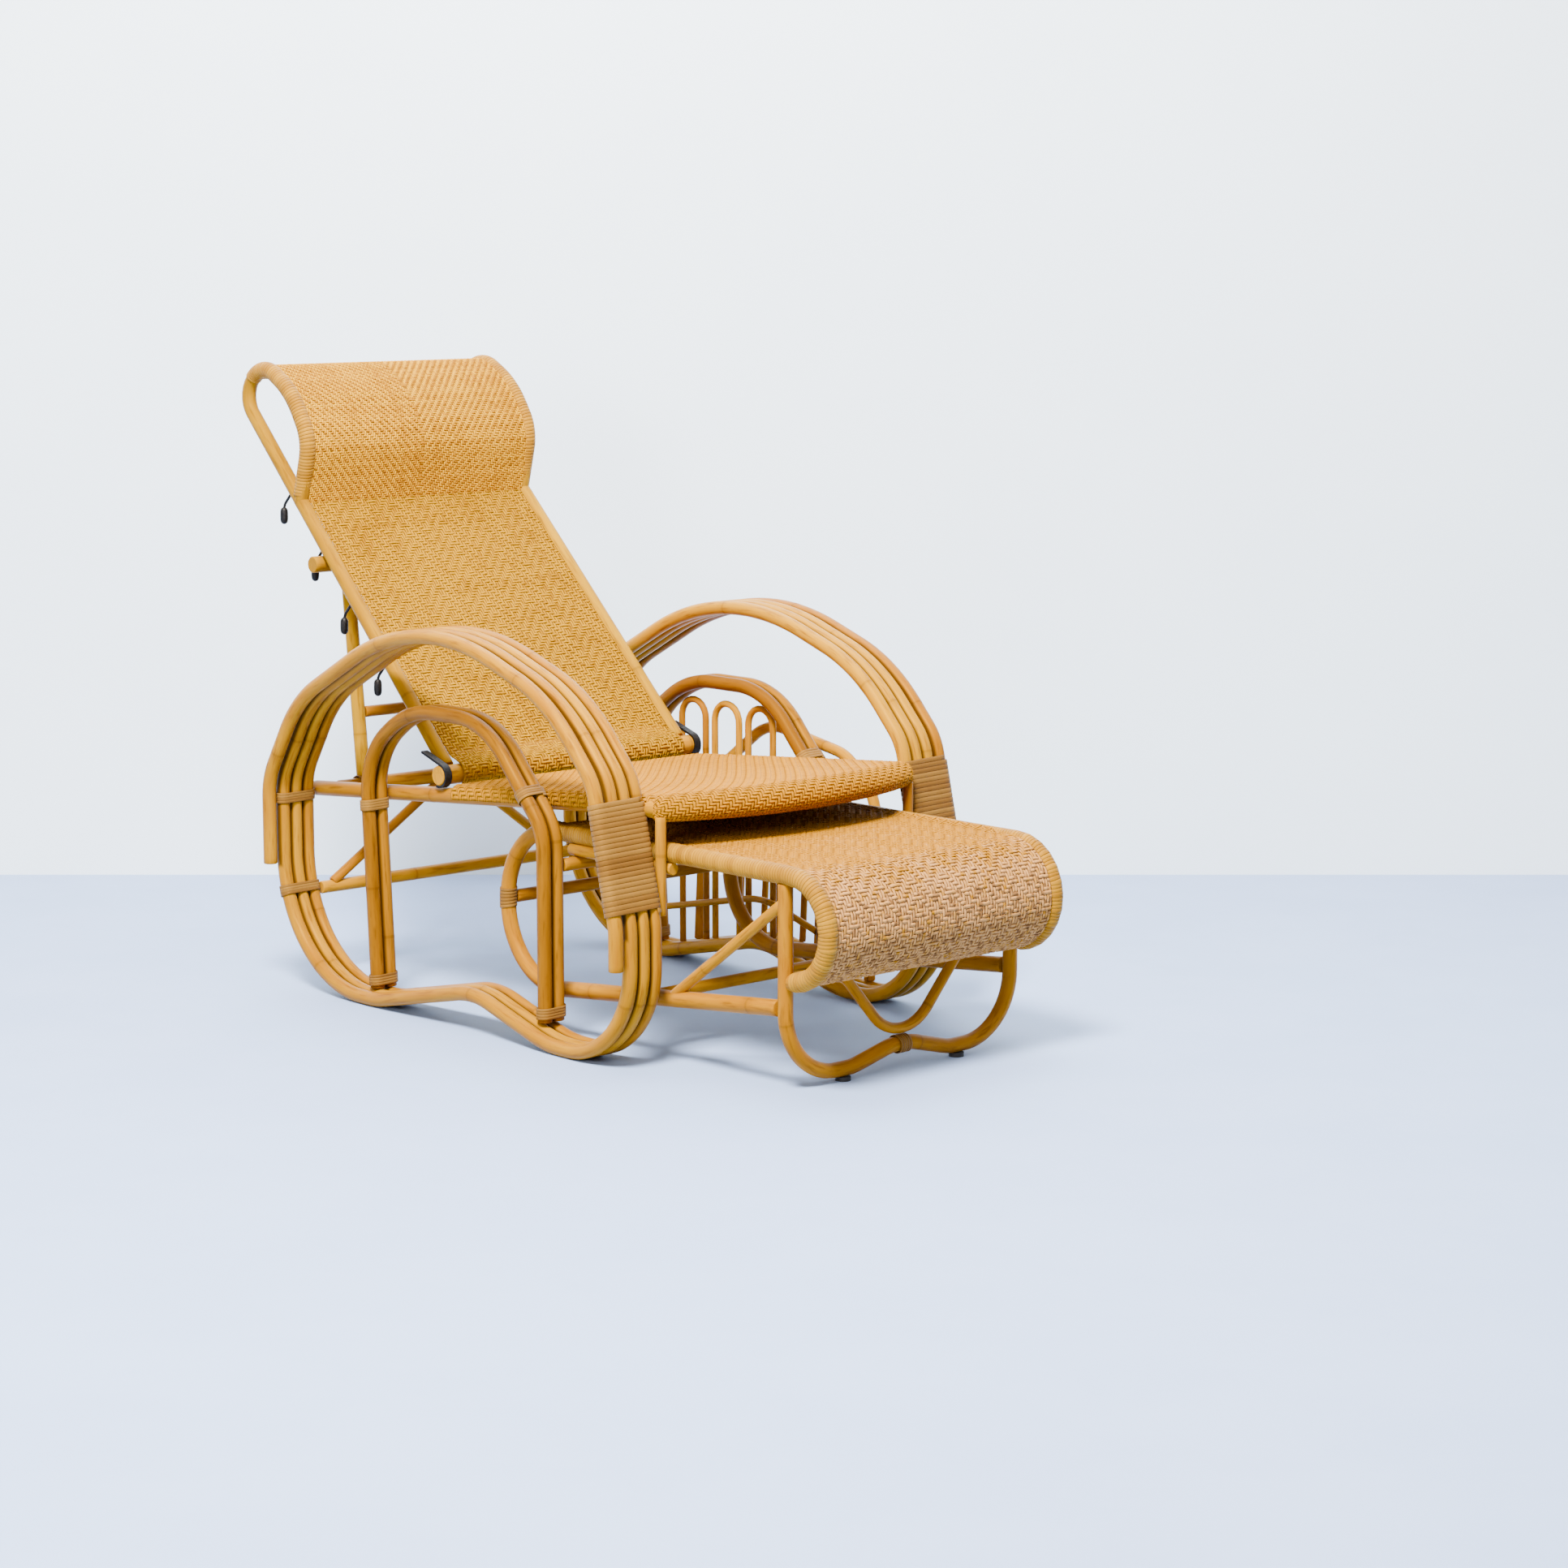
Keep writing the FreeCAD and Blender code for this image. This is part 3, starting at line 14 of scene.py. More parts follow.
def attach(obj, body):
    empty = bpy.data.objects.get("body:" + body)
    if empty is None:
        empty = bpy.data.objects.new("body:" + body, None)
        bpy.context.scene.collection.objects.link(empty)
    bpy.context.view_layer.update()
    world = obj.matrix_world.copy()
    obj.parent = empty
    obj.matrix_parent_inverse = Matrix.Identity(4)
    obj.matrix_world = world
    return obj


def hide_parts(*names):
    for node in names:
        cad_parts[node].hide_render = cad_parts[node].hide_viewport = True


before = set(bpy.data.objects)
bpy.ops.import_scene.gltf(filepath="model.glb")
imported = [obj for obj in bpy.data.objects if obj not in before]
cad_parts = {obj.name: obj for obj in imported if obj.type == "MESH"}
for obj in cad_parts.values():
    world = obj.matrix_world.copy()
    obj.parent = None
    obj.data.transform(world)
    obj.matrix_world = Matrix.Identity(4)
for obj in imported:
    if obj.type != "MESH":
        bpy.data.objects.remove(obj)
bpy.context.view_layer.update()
MM = 0.001
SIDES = (("right", -1), ("left", 1))
CANE_SEED = 11
WEAVE_SEED = 5
chance = random.Random(CANE_SEED)

# Materials

CANE = 22.0
INTERNODE = 340.0
# Grain of a peeled pole: its length and width in millimetres, its detail and its roughness.
FIBRE = (70.0, 0.56, 4.0, 0.6)
PATCH = (111.0, 13.0, 2.0, 0.55)
STAIN = (46.0, 5.4, 3.0, 0.55)
# Grain of a split strand: its size in millimetres, its detail and its roughness. Real fibres are about
# 0.5 mm wide, and are drawn as flecks of 2.4 mm so that they show.
FLECK = (2.4, 3.0, 0.6)
BLOTCH = (26.0, 3.0, 0.55)
DRIFT = (140.0, 2.0, 0.55)


def colour(code):
    """Linear colour of an sRGB hex code."""
    values = [int(code[k:k + 2], 16) / 255 for k in (1, 3, 5)]
    linear = [v / 12.92 if v <= 0.04045 else ((v + 0.055) / 1.055) ** 2.4 for v in values]
    return (*linear, 1.0)


def add(tree, kind, inputs=None, **settings):
    """Add a shader node with its settings, values and links."""
    node = tree.nodes.new(kind)
    for name, value in settings.items():
        setattr(node, name, value)
    for key, value in (inputs or {}).items():
        if isinstance(value, bpy.types.NodeSocket):
            tree.links.new(value, node.inputs[key])
        else:
            node.inputs[key].default_value = value
    return node.outputs


def new_look(name):
    """Empty material and its node tree."""
    material = bpy.data.materials.new(name)
    material.use_nodes = True
    material.node_tree.nodes.clear()
    return material, material.node_tree


def stained(tree, base, stain, value, low, high, start=0.0, end=1.0):
    """Lay a stain over a base colour, from a first to a last share as a value rises from low to high."""
    marks = {0: value, 1: low, 2: high, 3: start, 4: end}
    share = add(tree, "ShaderNodeMapRange", marks, interpolation_type="SMOOTHSTEP")[0]
    return add(tree, "ShaderNodeMix", {0: share, 6: base, 7: colour(stain)}, data_type="RGBA")[2]


def finished(tree, base, height, smooth, matt, low, high, bump, depth, shine=None, metal=0.0):
    """Close a material: rough from smooth to matt as its grain rises from low to high, and bumpy along it.

    Lacquered rattan has an amber shine.
    """
    marks = {0: height, 1: low, 2: high, 3: smooth, 4: matt}
    rough = add(tree, "ShaderNodeMapRange", marks, interpolation_type="SMOOTHSTEP")[0]
    normal = add(tree, "ShaderNodeBump", {"Strength": bump, "Distance": depth * MM, "Height": height})[0]
    surface = {"Base Color": base, "Roughness": rough, "Metallic": metal, "Normal": normal}
    if shine is not None:
        surface.update({"Specular IOR Level": shine, "Specular Tint": colour("#FFB838")})
    shader = add(tree, "ShaderNodeBsdfPrincipled", surface)[0]
    add(tree, "ShaderNodeOutputMaterial", {"Surface": shader})


def cane_look(label, light, deep, brown, gap, shine):
    """Peeled and lacquered rattan pole: long fibres, honey and brown patches, a faint ring at each joint, and
    painted shade along its sides where it touches its neighbours.

    The pole's UV counts joints along it and turns around it, so a place is measured in joints and in radii.
    """
    material, tree = new_look(label)
    tone, painted_shade = [add(tree, "ShaderNodeAttribute", attribute_name=name)[2] for name in ("tone", "painted_shade")]
    uv = add(tree, "ShaderNodeUVMap", uv_map="UVMap")[0]
    split = add(tree, "ShaderNodeSeparateXYZ", {0: uv})
    turn = add(tree, "ShaderNodeMath", {0: split[1], 1: math.tau}, operation="MULTIPLY")[0]
    across, up = [add(tree, "ShaderNodeMath", {0: turn}, operation=kind)[0] for kind in ("COSINE", "SINE")]
    place = add(tree, "ShaderNodeCombineXYZ", {0: split[0], 1: across, 2: up})[0]
    grains = []
    for long, wide, detail, rough in (FIBRE, PATCH, STAIN):
        counts = (INTERNODE / long, CANE / 2 / wide, CANE / 2 / wide)
        counted = add(tree, "ShaderNodeVectorMath", {0: place, 1: counts}, operation="MULTIPLY")[0]
        pattern = {"Vector": counted, "Scale": 1.0, "Detail": detail, "Roughness": rough}
        grains.append(add(tree, "ShaderNodeTexNoise", pattern)[0])
    fibres, patches, stains = grains
    # How far the nearest joint is, as a share of the way between two.
    joint = add(tree, "ShaderNodeMath", {0: split[0], 1: 0.5}, operation="PINGPONG")[0]
    shade = add(tree, "ShaderNodeMath", {0: tone, 1: patches}, operation="ADD")[0]
    base = stained(tree, colour(light), deep, shade, low=0.55, high=1.35)
    base = stained(tree, base, brown, fibres, low=0.5, high=0.75, end=0.35)
    base = stained(tree, base, brown, stains, low=0.5, high=0.75, end=0.7)
    base = stained(tree, base, brown, joint, low=0.0, high=0.05, start=0.18, end=0.0)
    base = stained(tree, base, gap, joint, low=0.003, high=0.008, start=0.25, end=0.0)
    # Painted shade where the cane touches a neighbour, in the dark colour of the joint rings.
    base = stained(tree, base, gap, painted_shade, low=0.0, high=1.0, end=0.85)
    finished(tree, base, fibres, smooth=0.34, matt=0.52, low=0.3, high=0.8, bump=0.2, depth=0.4, shine=shine)
    return material


def strand_look(label, light, deep, dark_and_shade, shine, smooth=0.5, mottle=0.3, dark=0.7):
    """Split rattan strands: each its own tone, flecked along its fibres, and with painted shade where it dips
    under; dark sets the share of that shade.
    """
    material, tree = new_look(label)
    tone, painted_shade = [add(tree, "ShaderNodeAttribute", attribute_name=name)[2] for name in ("tone", "painted_shade")]
    place = add(tree, "ShaderNodeTexCoord")["Object"]
    grains = []
    for size, detail, rough in (FLECK, BLOTCH, DRIFT):
        pattern = {"Vector": place, "Scale": 1 / (size * MM), "Detail": detail, "Roughness": rough}
        grains.append(add(tree, "ShaderNodeTexNoise", pattern)[0])
    flecks, blotches, drift = grains
    clouds = 2 * mottle
    mixed = add(tree, "ShaderNodeMath", {0: blotches, 1: drift}, operation="ADD")[0]
    shade = add(tree, "ShaderNodeMath", {0: mixed, 1: clouds, 2: tone}, operation="MULTIPLY_ADD")[0]
    base = stained(tree, colour(light), deep, shade, low=clouds + 0.05, high=clouds + 0.95)
    base = stained(tree, base, dark_and_shade, tone, low=0.85, high=1.3, end=0.8)
    base = stained(tree, base, dark_and_shade, flecks, low=0.5, high=0.75, end=0.25)
    # Painted shade where a strand dips under another and along its edges, in the dark colour.
    base = stained(tree, base, dark_and_shade, painted_shade, low=0.2, high=1.0, end=dark)
    matt = smooth + 0.18
    finished(tree, base, flecks, smooth, matt, low=0.3, high=0.8, bump=0.3, depth=0.4, shine=shine)
    return material


def plain_look(name, light, dark, grit, smooth, matt, bump, metal=0.0):
    """Solid stuff with a mottled surface; grit is the size of its mottles in millimetres."""
    material, tree = new_look(name)
    place = add(tree, "ShaderNodeTexCoord")["Object"]
    pattern = {"Vector": place, "Scale": 1 / (grit * MM), "Detail": 4.0, "Roughness": 0.6}
    mottle = add(tree, "ShaderNodeTexNoise", pattern)[0]
    base = stained(tree, colour(light), dark, mottle, low=0.35, high=0.7)
    finished(tree, base, mottle, smooth, matt, low=0.3, high=0.75, bump=bump, depth=1.0, metal=metal)
    return material


# Peeled and lacquered rattan poles, honey on the arms and deeper below, each with a long soft highlight.
ARM_LOOK = cane_look("lacquered_rattan_arm", "#AA7402", "#905802", "#6A3A02", "#341C04", shine=0.18)
POLE_LOOK = cane_look("lacquered_rattan_pole", "#B07602", "#935A03", "#663A02", "#331C04", shine=0.14)
# Golden rattan of the back's stiles and the prop, yellower and less shiny.
STILE_LOOK = cane_look("lacquered_rattan_stile", "#A87802", "#8C5E02", "#6A4202", "#331C04", shine=0.08)
# The arches inside the arms are painted browner, as the shade they lie in under the arms, so they stand out
# against them.
SHADED_ARCH_LOOK = cane_look("lacquered_rattan_arch_painted_shade", "#8F5A02", "#724402", "#522E02", "#2E1804", shine=0.14)
# Sawn rattan ends show open pores, so they read matt and dotted. Real pores are about 0.4 mm wide, and are
# drawn at 1.1 mm so that they show.
END_LOOK = plain_look("sawn_rattan_end", "#8C6420", "#5E3E12", grit=1.1, smooth=0.6, matt=0.85, bump=0.5)
# Wound rattan peel keeps its hard bark, so it shines in thin lines between gaps of painted shade.
PEEL_LOOK = strand_look("wound_rattan_peel", "#7F5822", "#6A4519", "#45290D", shine=0.2, smooth=0.4)
# Peel wound round the woven edges, paler than the bindings.
RIM_LOOK = strand_look("wound_rattan_rim", "#A06E14", "#895A0E", "#66400C", shine=0.2, smooth=0.42, dark=0.6)
# Flat split rattan of the back, golden and matt, yellower than the rest, so the eye meets it first.
BACK_LOOK = strand_look(
    "woven_rattan_back", "#A47200", "#885900", "#6C4200", shine=0.04, mottle=0.5, dark=0.45,
)
# Fine tan rattan of the headrest, with painted shade in the dips that draws its chevrons.
HEAD_LOOK = strand_look("woven_rattan_headrest", "#CA8F06", "#9D6402", "#653A02", shine=0.05, dark=0.75)
# Fine pale rattan of the seat, which reads as small scales.
SEAT_LOOK = strand_look("woven_rattan_seat", "#AB6F02", "#945E02", "#653D02", shine=0.05)
# Coarse rattan of the footrest, golden on top and rosy brown and speckled round the roll.
FOOT_LOOK = strand_look("woven_rattan_footrest", "#9C6502", "#B9834A", "#64401F", shine=0.06, dark=0.65)
# Forged iron, blackened, and mottled brighter where it is rubbed.
IRON_LOOK = plain_look(
    "blackened_forged_iron", "#1A1817", "#2B2724", grit=3.8, smooth=0.42, matt=0.7, bump=0.35, metal=0.8,
)
# Moulded rubber glides, dark and matt against the lacquer.
GLIDE_LOOK = plain_look(
    "moulded_rubber_glide", "#1D1A18", "#2A2522", grit=2.0, smooth=0.6, matt=0.85, bump=0.2,
)

# Shapes

ARC_STEP = 2.5
ROUND_STEPS = 5
SAME_PLACE = 0.001 * MM
# How a cane grows: the spread of its joints, where the first sits and what it counts as, and the swelling.
JOINT_SPREAD = (0.8, 1.25)
FIRST_JOINT = (0.15, 0.85)
FIRST_COUNT = (3, 40)
JOINT_SWELL = 0.02
SWELL_REACH = 4.5
# Rings of points along a cane: even ones, closer ones about a joint, and one inside each sawn end.
RING_STEP = 9.0
RING_GAP = 2.0
JOINT_RINGS = np.array((-6.0, -3.0, -1.2, 0.0, 1.2, 3.0, 6.0))
END_EDGE = 1.2
END_TAPER = 0.9
# Share of a cane's radius where the painted shade toward its neighbour begins, and over which it deepens.
SHADE_START = 0.62
SHADE_SPAN = 0.3
# What each point of a weave or winding carries: its place, its tone and its painted shade.
ROW = 5
# Strands of a weave: half their width as a share of the lane, its spread, how far they stray, their tones.
STRAND_HALF = 0.49
STRAND_SPREAD = (0.9, 1.0)
STRAND_STRAY = 0.05
TONE_SPREAD = 0.6
TONE_WILD = 0.12
TONE_TOP = 1.4
# Points round a strand, across it and above it, and the painted shade on its edges.
STRAND_RING = ((-1, 0), (0, 1), (1, 0), (0, -1))
EDGE_SHADE = 0.55
EDGE_SHADE_SWING = 0.25
# Thin sheet inside a weave, painted dark as the shade between strands: strands to a square, half its
# thickness, its tone and its painted shade.
SHEET_SQUARE = 3
SHEET_HALF = 0.12
SHEET_SHADE = (0.8, 1.0)
# Wound strip: points to a turn, reach for its direction, thickness, and its section as shares of the pitch
# along and of half the thickness outward, each with its painted shade, dark at the edges between turns.
WIND_STEPS = 40
WIND_REACH = 1.5
STRIP_THICK = 1.3
STRIP = (
    (-0.5, 0.1, 0.8), (-0.4, 0.8, 0.0), (0.0, 1.0, 0.0), (0.4, 0.8, 0.0), (0.5, 0.1, 0.8), (0.0, -0.8, 0.8),
)


def shown(piece):
    """Put an object in the scene."""
    bpy.context.scene.collection.objects.link(piece)
    return piece


def only(piece):
    """Make a piece the only selected one."""
    bpy.ops.object.select_all(action="DESELECT")
    piece.select_set(True)
    bpy.context.view_layer.objects.active = piece


def turned_out(piece, merge=False):
    """Turn a piece's faces outward, once its doubled points are merged where that is asked."""
    only(piece)
    bpy.ops.object.mode_set(mode="EDIT")
    bpy.ops.mesh.select_all(action="SELECT")
    if merge:
        bpy.ops.mesh.remove_doubles(threshold=SAME_PLACE)
    bpy.ops.mesh.normals_make_consistent(inside=False)
    bpy.ops.object.mode_set(mode="OBJECT")


def shade(mesh, name, values):
    """Give each point of a mesh a value that its look reads."""
    mesh.attributes.new(name, "FLOAT", "POINT").data.foreach_set("value", values.astype(np.float32))


def side_view(x, corners):
    """Side-view corners on a plane across X."""
    return [((x, y, z), bend) for y, z, bend in corners]


def bent_line(corners, closed=False, step=ARC_STEP):
    """Points along straight runs and tangent arcs, through corners with bend radii."""
    points = []
    count = len(corners)
    for index, (corner, bend) in enumerate(corners):
        corner = Vector(corner)
        if not closed and index in (0, count - 1):
            points.append(corner)
            continue
        before = (corner - Vector(corners[index - 1][0])).normalized()
        after = (Vector(corners[(index + 1) % count][0]) - corner).normalized()
        turn = before.angle(after)
        start = corner - before * bend * math.tan(turn / 2)
        centre = corner + (after - before).normalized() * bend / math.cos(turn / 2)
        axis = before.cross(after).normalized()
        pieces = max(2, math.ceil(turn * bend / step))
        for k in range(pieces + 1):
            points.append(centre + Matrix.Rotation(turn * k / pieces, 3, axis) @ (start - centre))
    return points


def measured(points):
    """Points as an array and their distances along the line."""
    array = np.array([tuple(p) for p in points])
    steps = np.linalg.norm(np.diff(array, axis=0), axis=1)
    return array, np.concatenate(([0.0], np.cumsum(steps)))


def sampled(array, reach, stations):
    """Places at distances along a line, and at its ends for those past them."""
    return np.column_stack([np.interp(stations, reach, array[:, k]) for k in range(array.shape[1])])


def headings(array, reach, stations, step):
    """Directions of a line at distances along it."""
    run = sampled(array, reach, stations + step) - sampled(array, reach, stations - step)
    return run / np.linalg.norm(run, axis=1)[:, None]


def rounded(label, places, radii, closed=False):
    """Round rod through places with a radius at each, made from a bevelled curve."""
    data = bpy.data.curves.new(label, "CURVE")
    data.dimensions = "3D"
    data.bevel_depth = 1.0
    data.bevel_resolution = ROUND_STEPS
    data.use_fill_caps = not closed
    spline = data.splines.new("POLY")
    spline.points.add(len(places) - 1)
    spline.points.foreach_set("co", np.column_stack((places, np.ones(len(places)))).ravel())
    spline.points.foreach_set("radius", radii)
    spline.use_cyclic_u = closed
    only(shown(bpy.data.objects.new(label, data)))
    bpy.ops.object.convert(target="MESH")
    piece = bpy.context.object
    turned_out(piece, merge=True)
    return piece


def cane(label, corners, diameter, closed=False, internode=INTERNODE, touching=()):
    """Bent pole of natural cane, a little thicker at its joints.

    Its UV counts joints along and turns around. touching lists the sides, 1 or -1 along X, that meet another
    cane, and the height above which they do; those sides are painted with shade.
    """
    line = bent_line(corners, closed)
    array, reach = measured(line + line[:1] if closed else line)
    total = reach[-1]
    spacing = internode * chance.uniform(*JOINT_SPREAD)
    if closed:
        spacing = total / round(total / spacing)
    first = chance.uniform(*FIRST_JOINT) * spacing
    joints = np.arange(first, total, spacing)
    even = np.linspace(0, total, math.ceil(total / RING_STEP) + 1)
    near = (joints[:, None] + JOINT_RINGS).ravel()
    near = near[(near > RING_GAP) & (near < total - RING_GAP)]
    far = even[np.abs(even[:, None] - near[None, :]).min(axis=1) > RING_GAP] if len(near) else even
    ends = (0.0, total) if closed else (0.0, END_EDGE, total - END_EDGE, total)
    stations = np.unique(np.concatenate((far, near, ends)))
    gap = np.abs((stations - first + spacing / 2) % spacing - spacing / 2)
    swell = 1 + JOINT_SWELL * np.exp(-(gap / SWELL_REACH) ** 2)
    if not closed:
        swell[[0, -1]] *= END_TAPER
    marks = stations
    if closed:
        stations = stations[:-1]
        swell = swell[:-1]
    places = sampled(array, reach, stations) * MM
    piece = rounded(label, places, swell * diameter / 2 * MM, closed)
    mesh = piece.data
    layer = mesh.uv_layers[0]
    layer.name = "UVMap"
    flat = np.empty(2 * len(mesh.loops), dtype=np.float32)
    layer.data.foreach_get("uv", flat)
    uv = flat.reshape(-1, 2)
    along = np.interp(uv[:, 0] * (len(marks) - 1), np.arange(len(marks)), marks)
    uv[:, 0] = (along - first) / spacing + chance.randrange(*FIRST_COUNT)
    layer.data.foreach_set("uv", uv.ravel())
    # Only the sawn ends are filled with triangles.
    sizes = np.empty(len(mesh.polygons), dtype=np.int32)
    mesh.polygons.foreach_get("loop_total", sizes)
    caps = sizes == 3
    mesh.polygons.foreach_set("use_smooth", ~caps)
    mesh.polygons.foreach_set("material_index", caps.astype(np.int32))
    points = np.empty(3 * len(mesh.vertices), dtype=np.float32)
    mesh.vertices.foreach_get("co", points)
    points = points.reshape(-1, 3)
    # Painted shade on the sides that touch a neighbour cane, above the given height.
    beside = (points[:, 0] - places[0, 0]) / (diameter / 2 * MM)
    painted_shade = np.zeros(len(mesh.vertices), dtype=np.float32)
    for side, low in touching:
        met = np.clip((side * beside - SHADE_START) / SHADE_SPAN, 0, 1) * (points[:, 2] > low * MM)
        painted_shade = np.maximum(painted_shade, met)
    shade(mesh, "painted_shade", painted_shade)
    shade(mesh, "tone", np.full(len(mesh.vertices), chance.random()))
    return piece


def joined(label, pieces):
    """Several meshes as one piece."""
    only(pieces[0])
    for piece in pieces[1:]:
        piece.select_set(True)
    bpy.ops.object.join()
    pieces[0].name = label
    pieces[0].data.name = label
    return pieces[0]


def dress(piece, body, slot, looks, *nodes):
    """Give a piece its looks, its body and the CAD nodes that it stands for."""
    piece.data.materials.clear()
    for look in looks:
        piece.data.materials.append(look)
    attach(piece, body)
    if nodes:
        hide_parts(*nodes)


def pole(node, body, corners, diameter, look=POLE_LOOK, slot="rattan_pole", **growth):
    """Make and dress the pole that stands for a CAD node."""
    dress(cane(f"{node}_pole", corners, diameter, **growth), body, slot, (look, END_LOOK), node)


def pole_group(node, body, pieces):
    """Join and dress the poles that stand for a CAD node."""
    dress(joined(f"{node}_poles", pieces), body, "rattan_pole", (POLE_LOOK, END_LOOK), node)


def binding(piece, body, *nodes):
    """Dress a binding of wound peel."""
    dress(piece, body, "cane_binding", (PEEL_LOOK,), *nodes)


def built(label, table, faces):
    """Smooth mesh of closed forms, from rows of a place, a tone and a painted shade, and from quads."""
    mesh = bpy.data.meshes.new(label)
    mesh.from_pydata((table[:, :3] * MM).tolist(), [], faces.tolist())
    shade(mesh, "tone", table[:, 3])
    shade(mesh, "painted_shade", table[:, 4])
    mesh.update()
    piece = shown(bpy.data.objects.new(label, mesh))
    turned_out(piece)
    bpy.ops.object.shade_smooth()
    return piece


def tube_faces(strands, stations, ring):
    """Quads of tubes, each with its stations and its ring of points, and with both ends closed."""
    number = np.arange(strands * stations * ring).reshape(strands, stations, ring)
    turned = np.roll(number, -1, axis=2)
    sides = (number[:, :-1], turned[:, :-1], turned[:, 1:], number[:, 1:])
    blocks = [np.column_stack([side.ravel() for side in sides])]
    for corner in range(1, ring - 1, 2):
        quad = [0, corner, corner + 1, corner + 2]
        blocks += [number[:, 0, quad[::-1]], number[:, -1, quad]]
    return np.concatenate(blocks)


def sheet_faces(across, along):
    """Quads of a thin closed sheet: points in rows, each with its front and its back."""
    number = np.arange(across * along * 2).reshape(across, along, 2)
    skins = []
    for flat in (number[:, :, 0], number[:, :, 1]):
        skins.append((flat[:-1, :-1], flat[1:, :-1], flat[1:, 1:], flat[:-1, 1:]))
    for edge in (number[:, 0], number[:, -1], number[-1], number[0]):
        skins.append((edge[:-1, 1], edge[1:, 1], edge[1:, 0], edge[:-1, 0]))
    blocks = [np.column_stack([corner.ravel() for corner in skin]) for skin in skins]
    # Every second skin faces the other way.
    blocks[1::2] = [block[:, ::-1] for block in blocks[1::2]]
    return np.concatenate(blocks)


def weave(label, place, columns, rows, over, lift, crown, contrast=0.0, speckle=None):
    """Interlaced strands on a surface: place(u, v) gives points and normals, u across and v along, 0 to 1.

    A thin sheet between the strands, painted dark as shade, closes the weave. contrast darkens the strands
    across;
    speckle(v) gives the spread of the tone between strands and within one, its shift and the share of painted
    shade in the dips.
    """
    numbers = np.random.default_rng(WEAVE_SEED)
    i = (np.arange(columns) + 0.5) / columns
    j = (np.arange(rows) + 0.5) / rows
    above = over(*np.meshgrid(np.arange(columns), np.arange(rows), indexing="xy"))
    parts = []
    faces = []
    count = 0
    for weft in (True, False):
        lanes, stops = (j, i) if weft else (i, j)
        heights = np.where(above, 1.0, -1.0) if weft else np.where(above, -1.0, 1.0).T
        heights = np.pad(heights, ((0, 0), (1, 1)))
        stops = np.concatenate(([0.0], stops, [1.0]))
        width = STRAND_HALF / len(lanes) * numbers.uniform(*STRAND_SPREAD, (len(lanes), 1))
        lane, stop = np.meshgrid(lanes, stops, indexing="ij")
        lane = lane + numbers.normal(0, STRAND_STRAY / len(lanes), lane.shape)
        tone = np.repeat(numbers.uniform(0, 1, (len(lanes), 1)), len(stops), axis=1)
        # depth is the share of painted shade in the dips.
        spread, wild, darker, depth = TONE_SPREAD, TONE_WILD, contrast * weft, 1.0
        if speckle:
            spread, wild, darker, depth = speckle(lane if weft else stop)
        tone = np.clip(tone * spread + darker + numbers.normal(0, 1, tone.shape) * wild, 0, TONE_TOP)
        layers = []
        for shift, rise in STRAND_RING:
            across = lane + shift * width
            u, v = (stop, across) if weft else (across, stop)
            points, normals = place(u, v)
            height = heights * lift + rise * crown
            # Painted shade: darker where the strand passes under, and at its edges.
            painted_shade = 0.5 - 0.5 * heights * rise if rise else EDGE_SHADE - EDGE_SHADE_SWING * heights
            where = points + normals * height[..., None]
            layers.append(np.concatenate((where, tone[..., None], (painted_shade * depth)[..., None]), axis=-1))
        block = np.stack(layers, axis=2).reshape(-1, ROW)
        parts.append(block)
        faces.append(tube_faces(len(lanes), len(stops), len(STRAND_RING)) + count)
        count += len(block)
    wide, long = columns // SHEET_SQUARE, rows // SHEET_SQUARE
    u, v = np.meshgrid(np.linspace(0, 1, wide), np.linspace(0, 1, long), indexing="ij")
    points, normals = place(u, v)
    # The sheet carries full painted shade, darkening the slits between strands.
    shades = np.broadcast_to(SHEET_SHADE, (*u.shape, 2))
    sheets = [np.concatenate((points + normals * side * SHEET_HALF, shades), axis=-1) for side in (1, -1)]
    parts.append(np.stack(sheets, axis=2).reshape(-1, ROW))
    faces.append(sheet_faces(wide, long) + count)
    return built(label, np.concatenate(parts), np.concatenate(faces))


def winding(label, line, outline, pitch, across=(1.0, 0.0, 0.0), thick=STRIP_THICK):
    """Unbroken strip wound round an outline along a line.

    outline(angle, rise) gives offsets along across and square to it, at a rise above the canes.
    """
    array, reach = measured(line)
    turns = max(2, round((reach[-1] - pitch) / pitch))
    angle = np.arange(turns * WIND_STEPS + 1) / WIND_STEPS * math.tau
    across = np.array(across)
    middle = angle / math.tau * (reach[-1] - pitch) / turns + pitch / 2
    tones = np.interp(angle / math.tau, np.arange(turns + 1), [chance.random() for _ in range(turns + 1)])
    rows = []
    # Each point of the section carries its painted shade, dark at the edges between turns.
    for shift, rise, painted_shade in STRIP:
        station = np.clip(middle + shift * pitch, 0, reach[-1])
        beside = np.cross(headings(array, reach, station, WIND_REACH), across)
        beside = beside / np.linalg.norm(beside, axis=1)[:, None]
        a, b = outline(angle, rise * thick / 2)
        where = sampled(array, reach, station) + across * a[:, None] + beside * b[:, None]
        rows.append(np.column_stack((where, tones, np.full(len(angle), painted_shade))))
    table = np.stack(rows, axis=1).reshape(-1, ROW)
    return built(label, table, tube_faces(1, len(angle), len(rows)))


def round_outline(radius):
    """Circle for a winding round one pole."""
    return lambda angle, rise: ((radius + rise) * np.cos(angle), (radius + rise) * np.sin(angle))


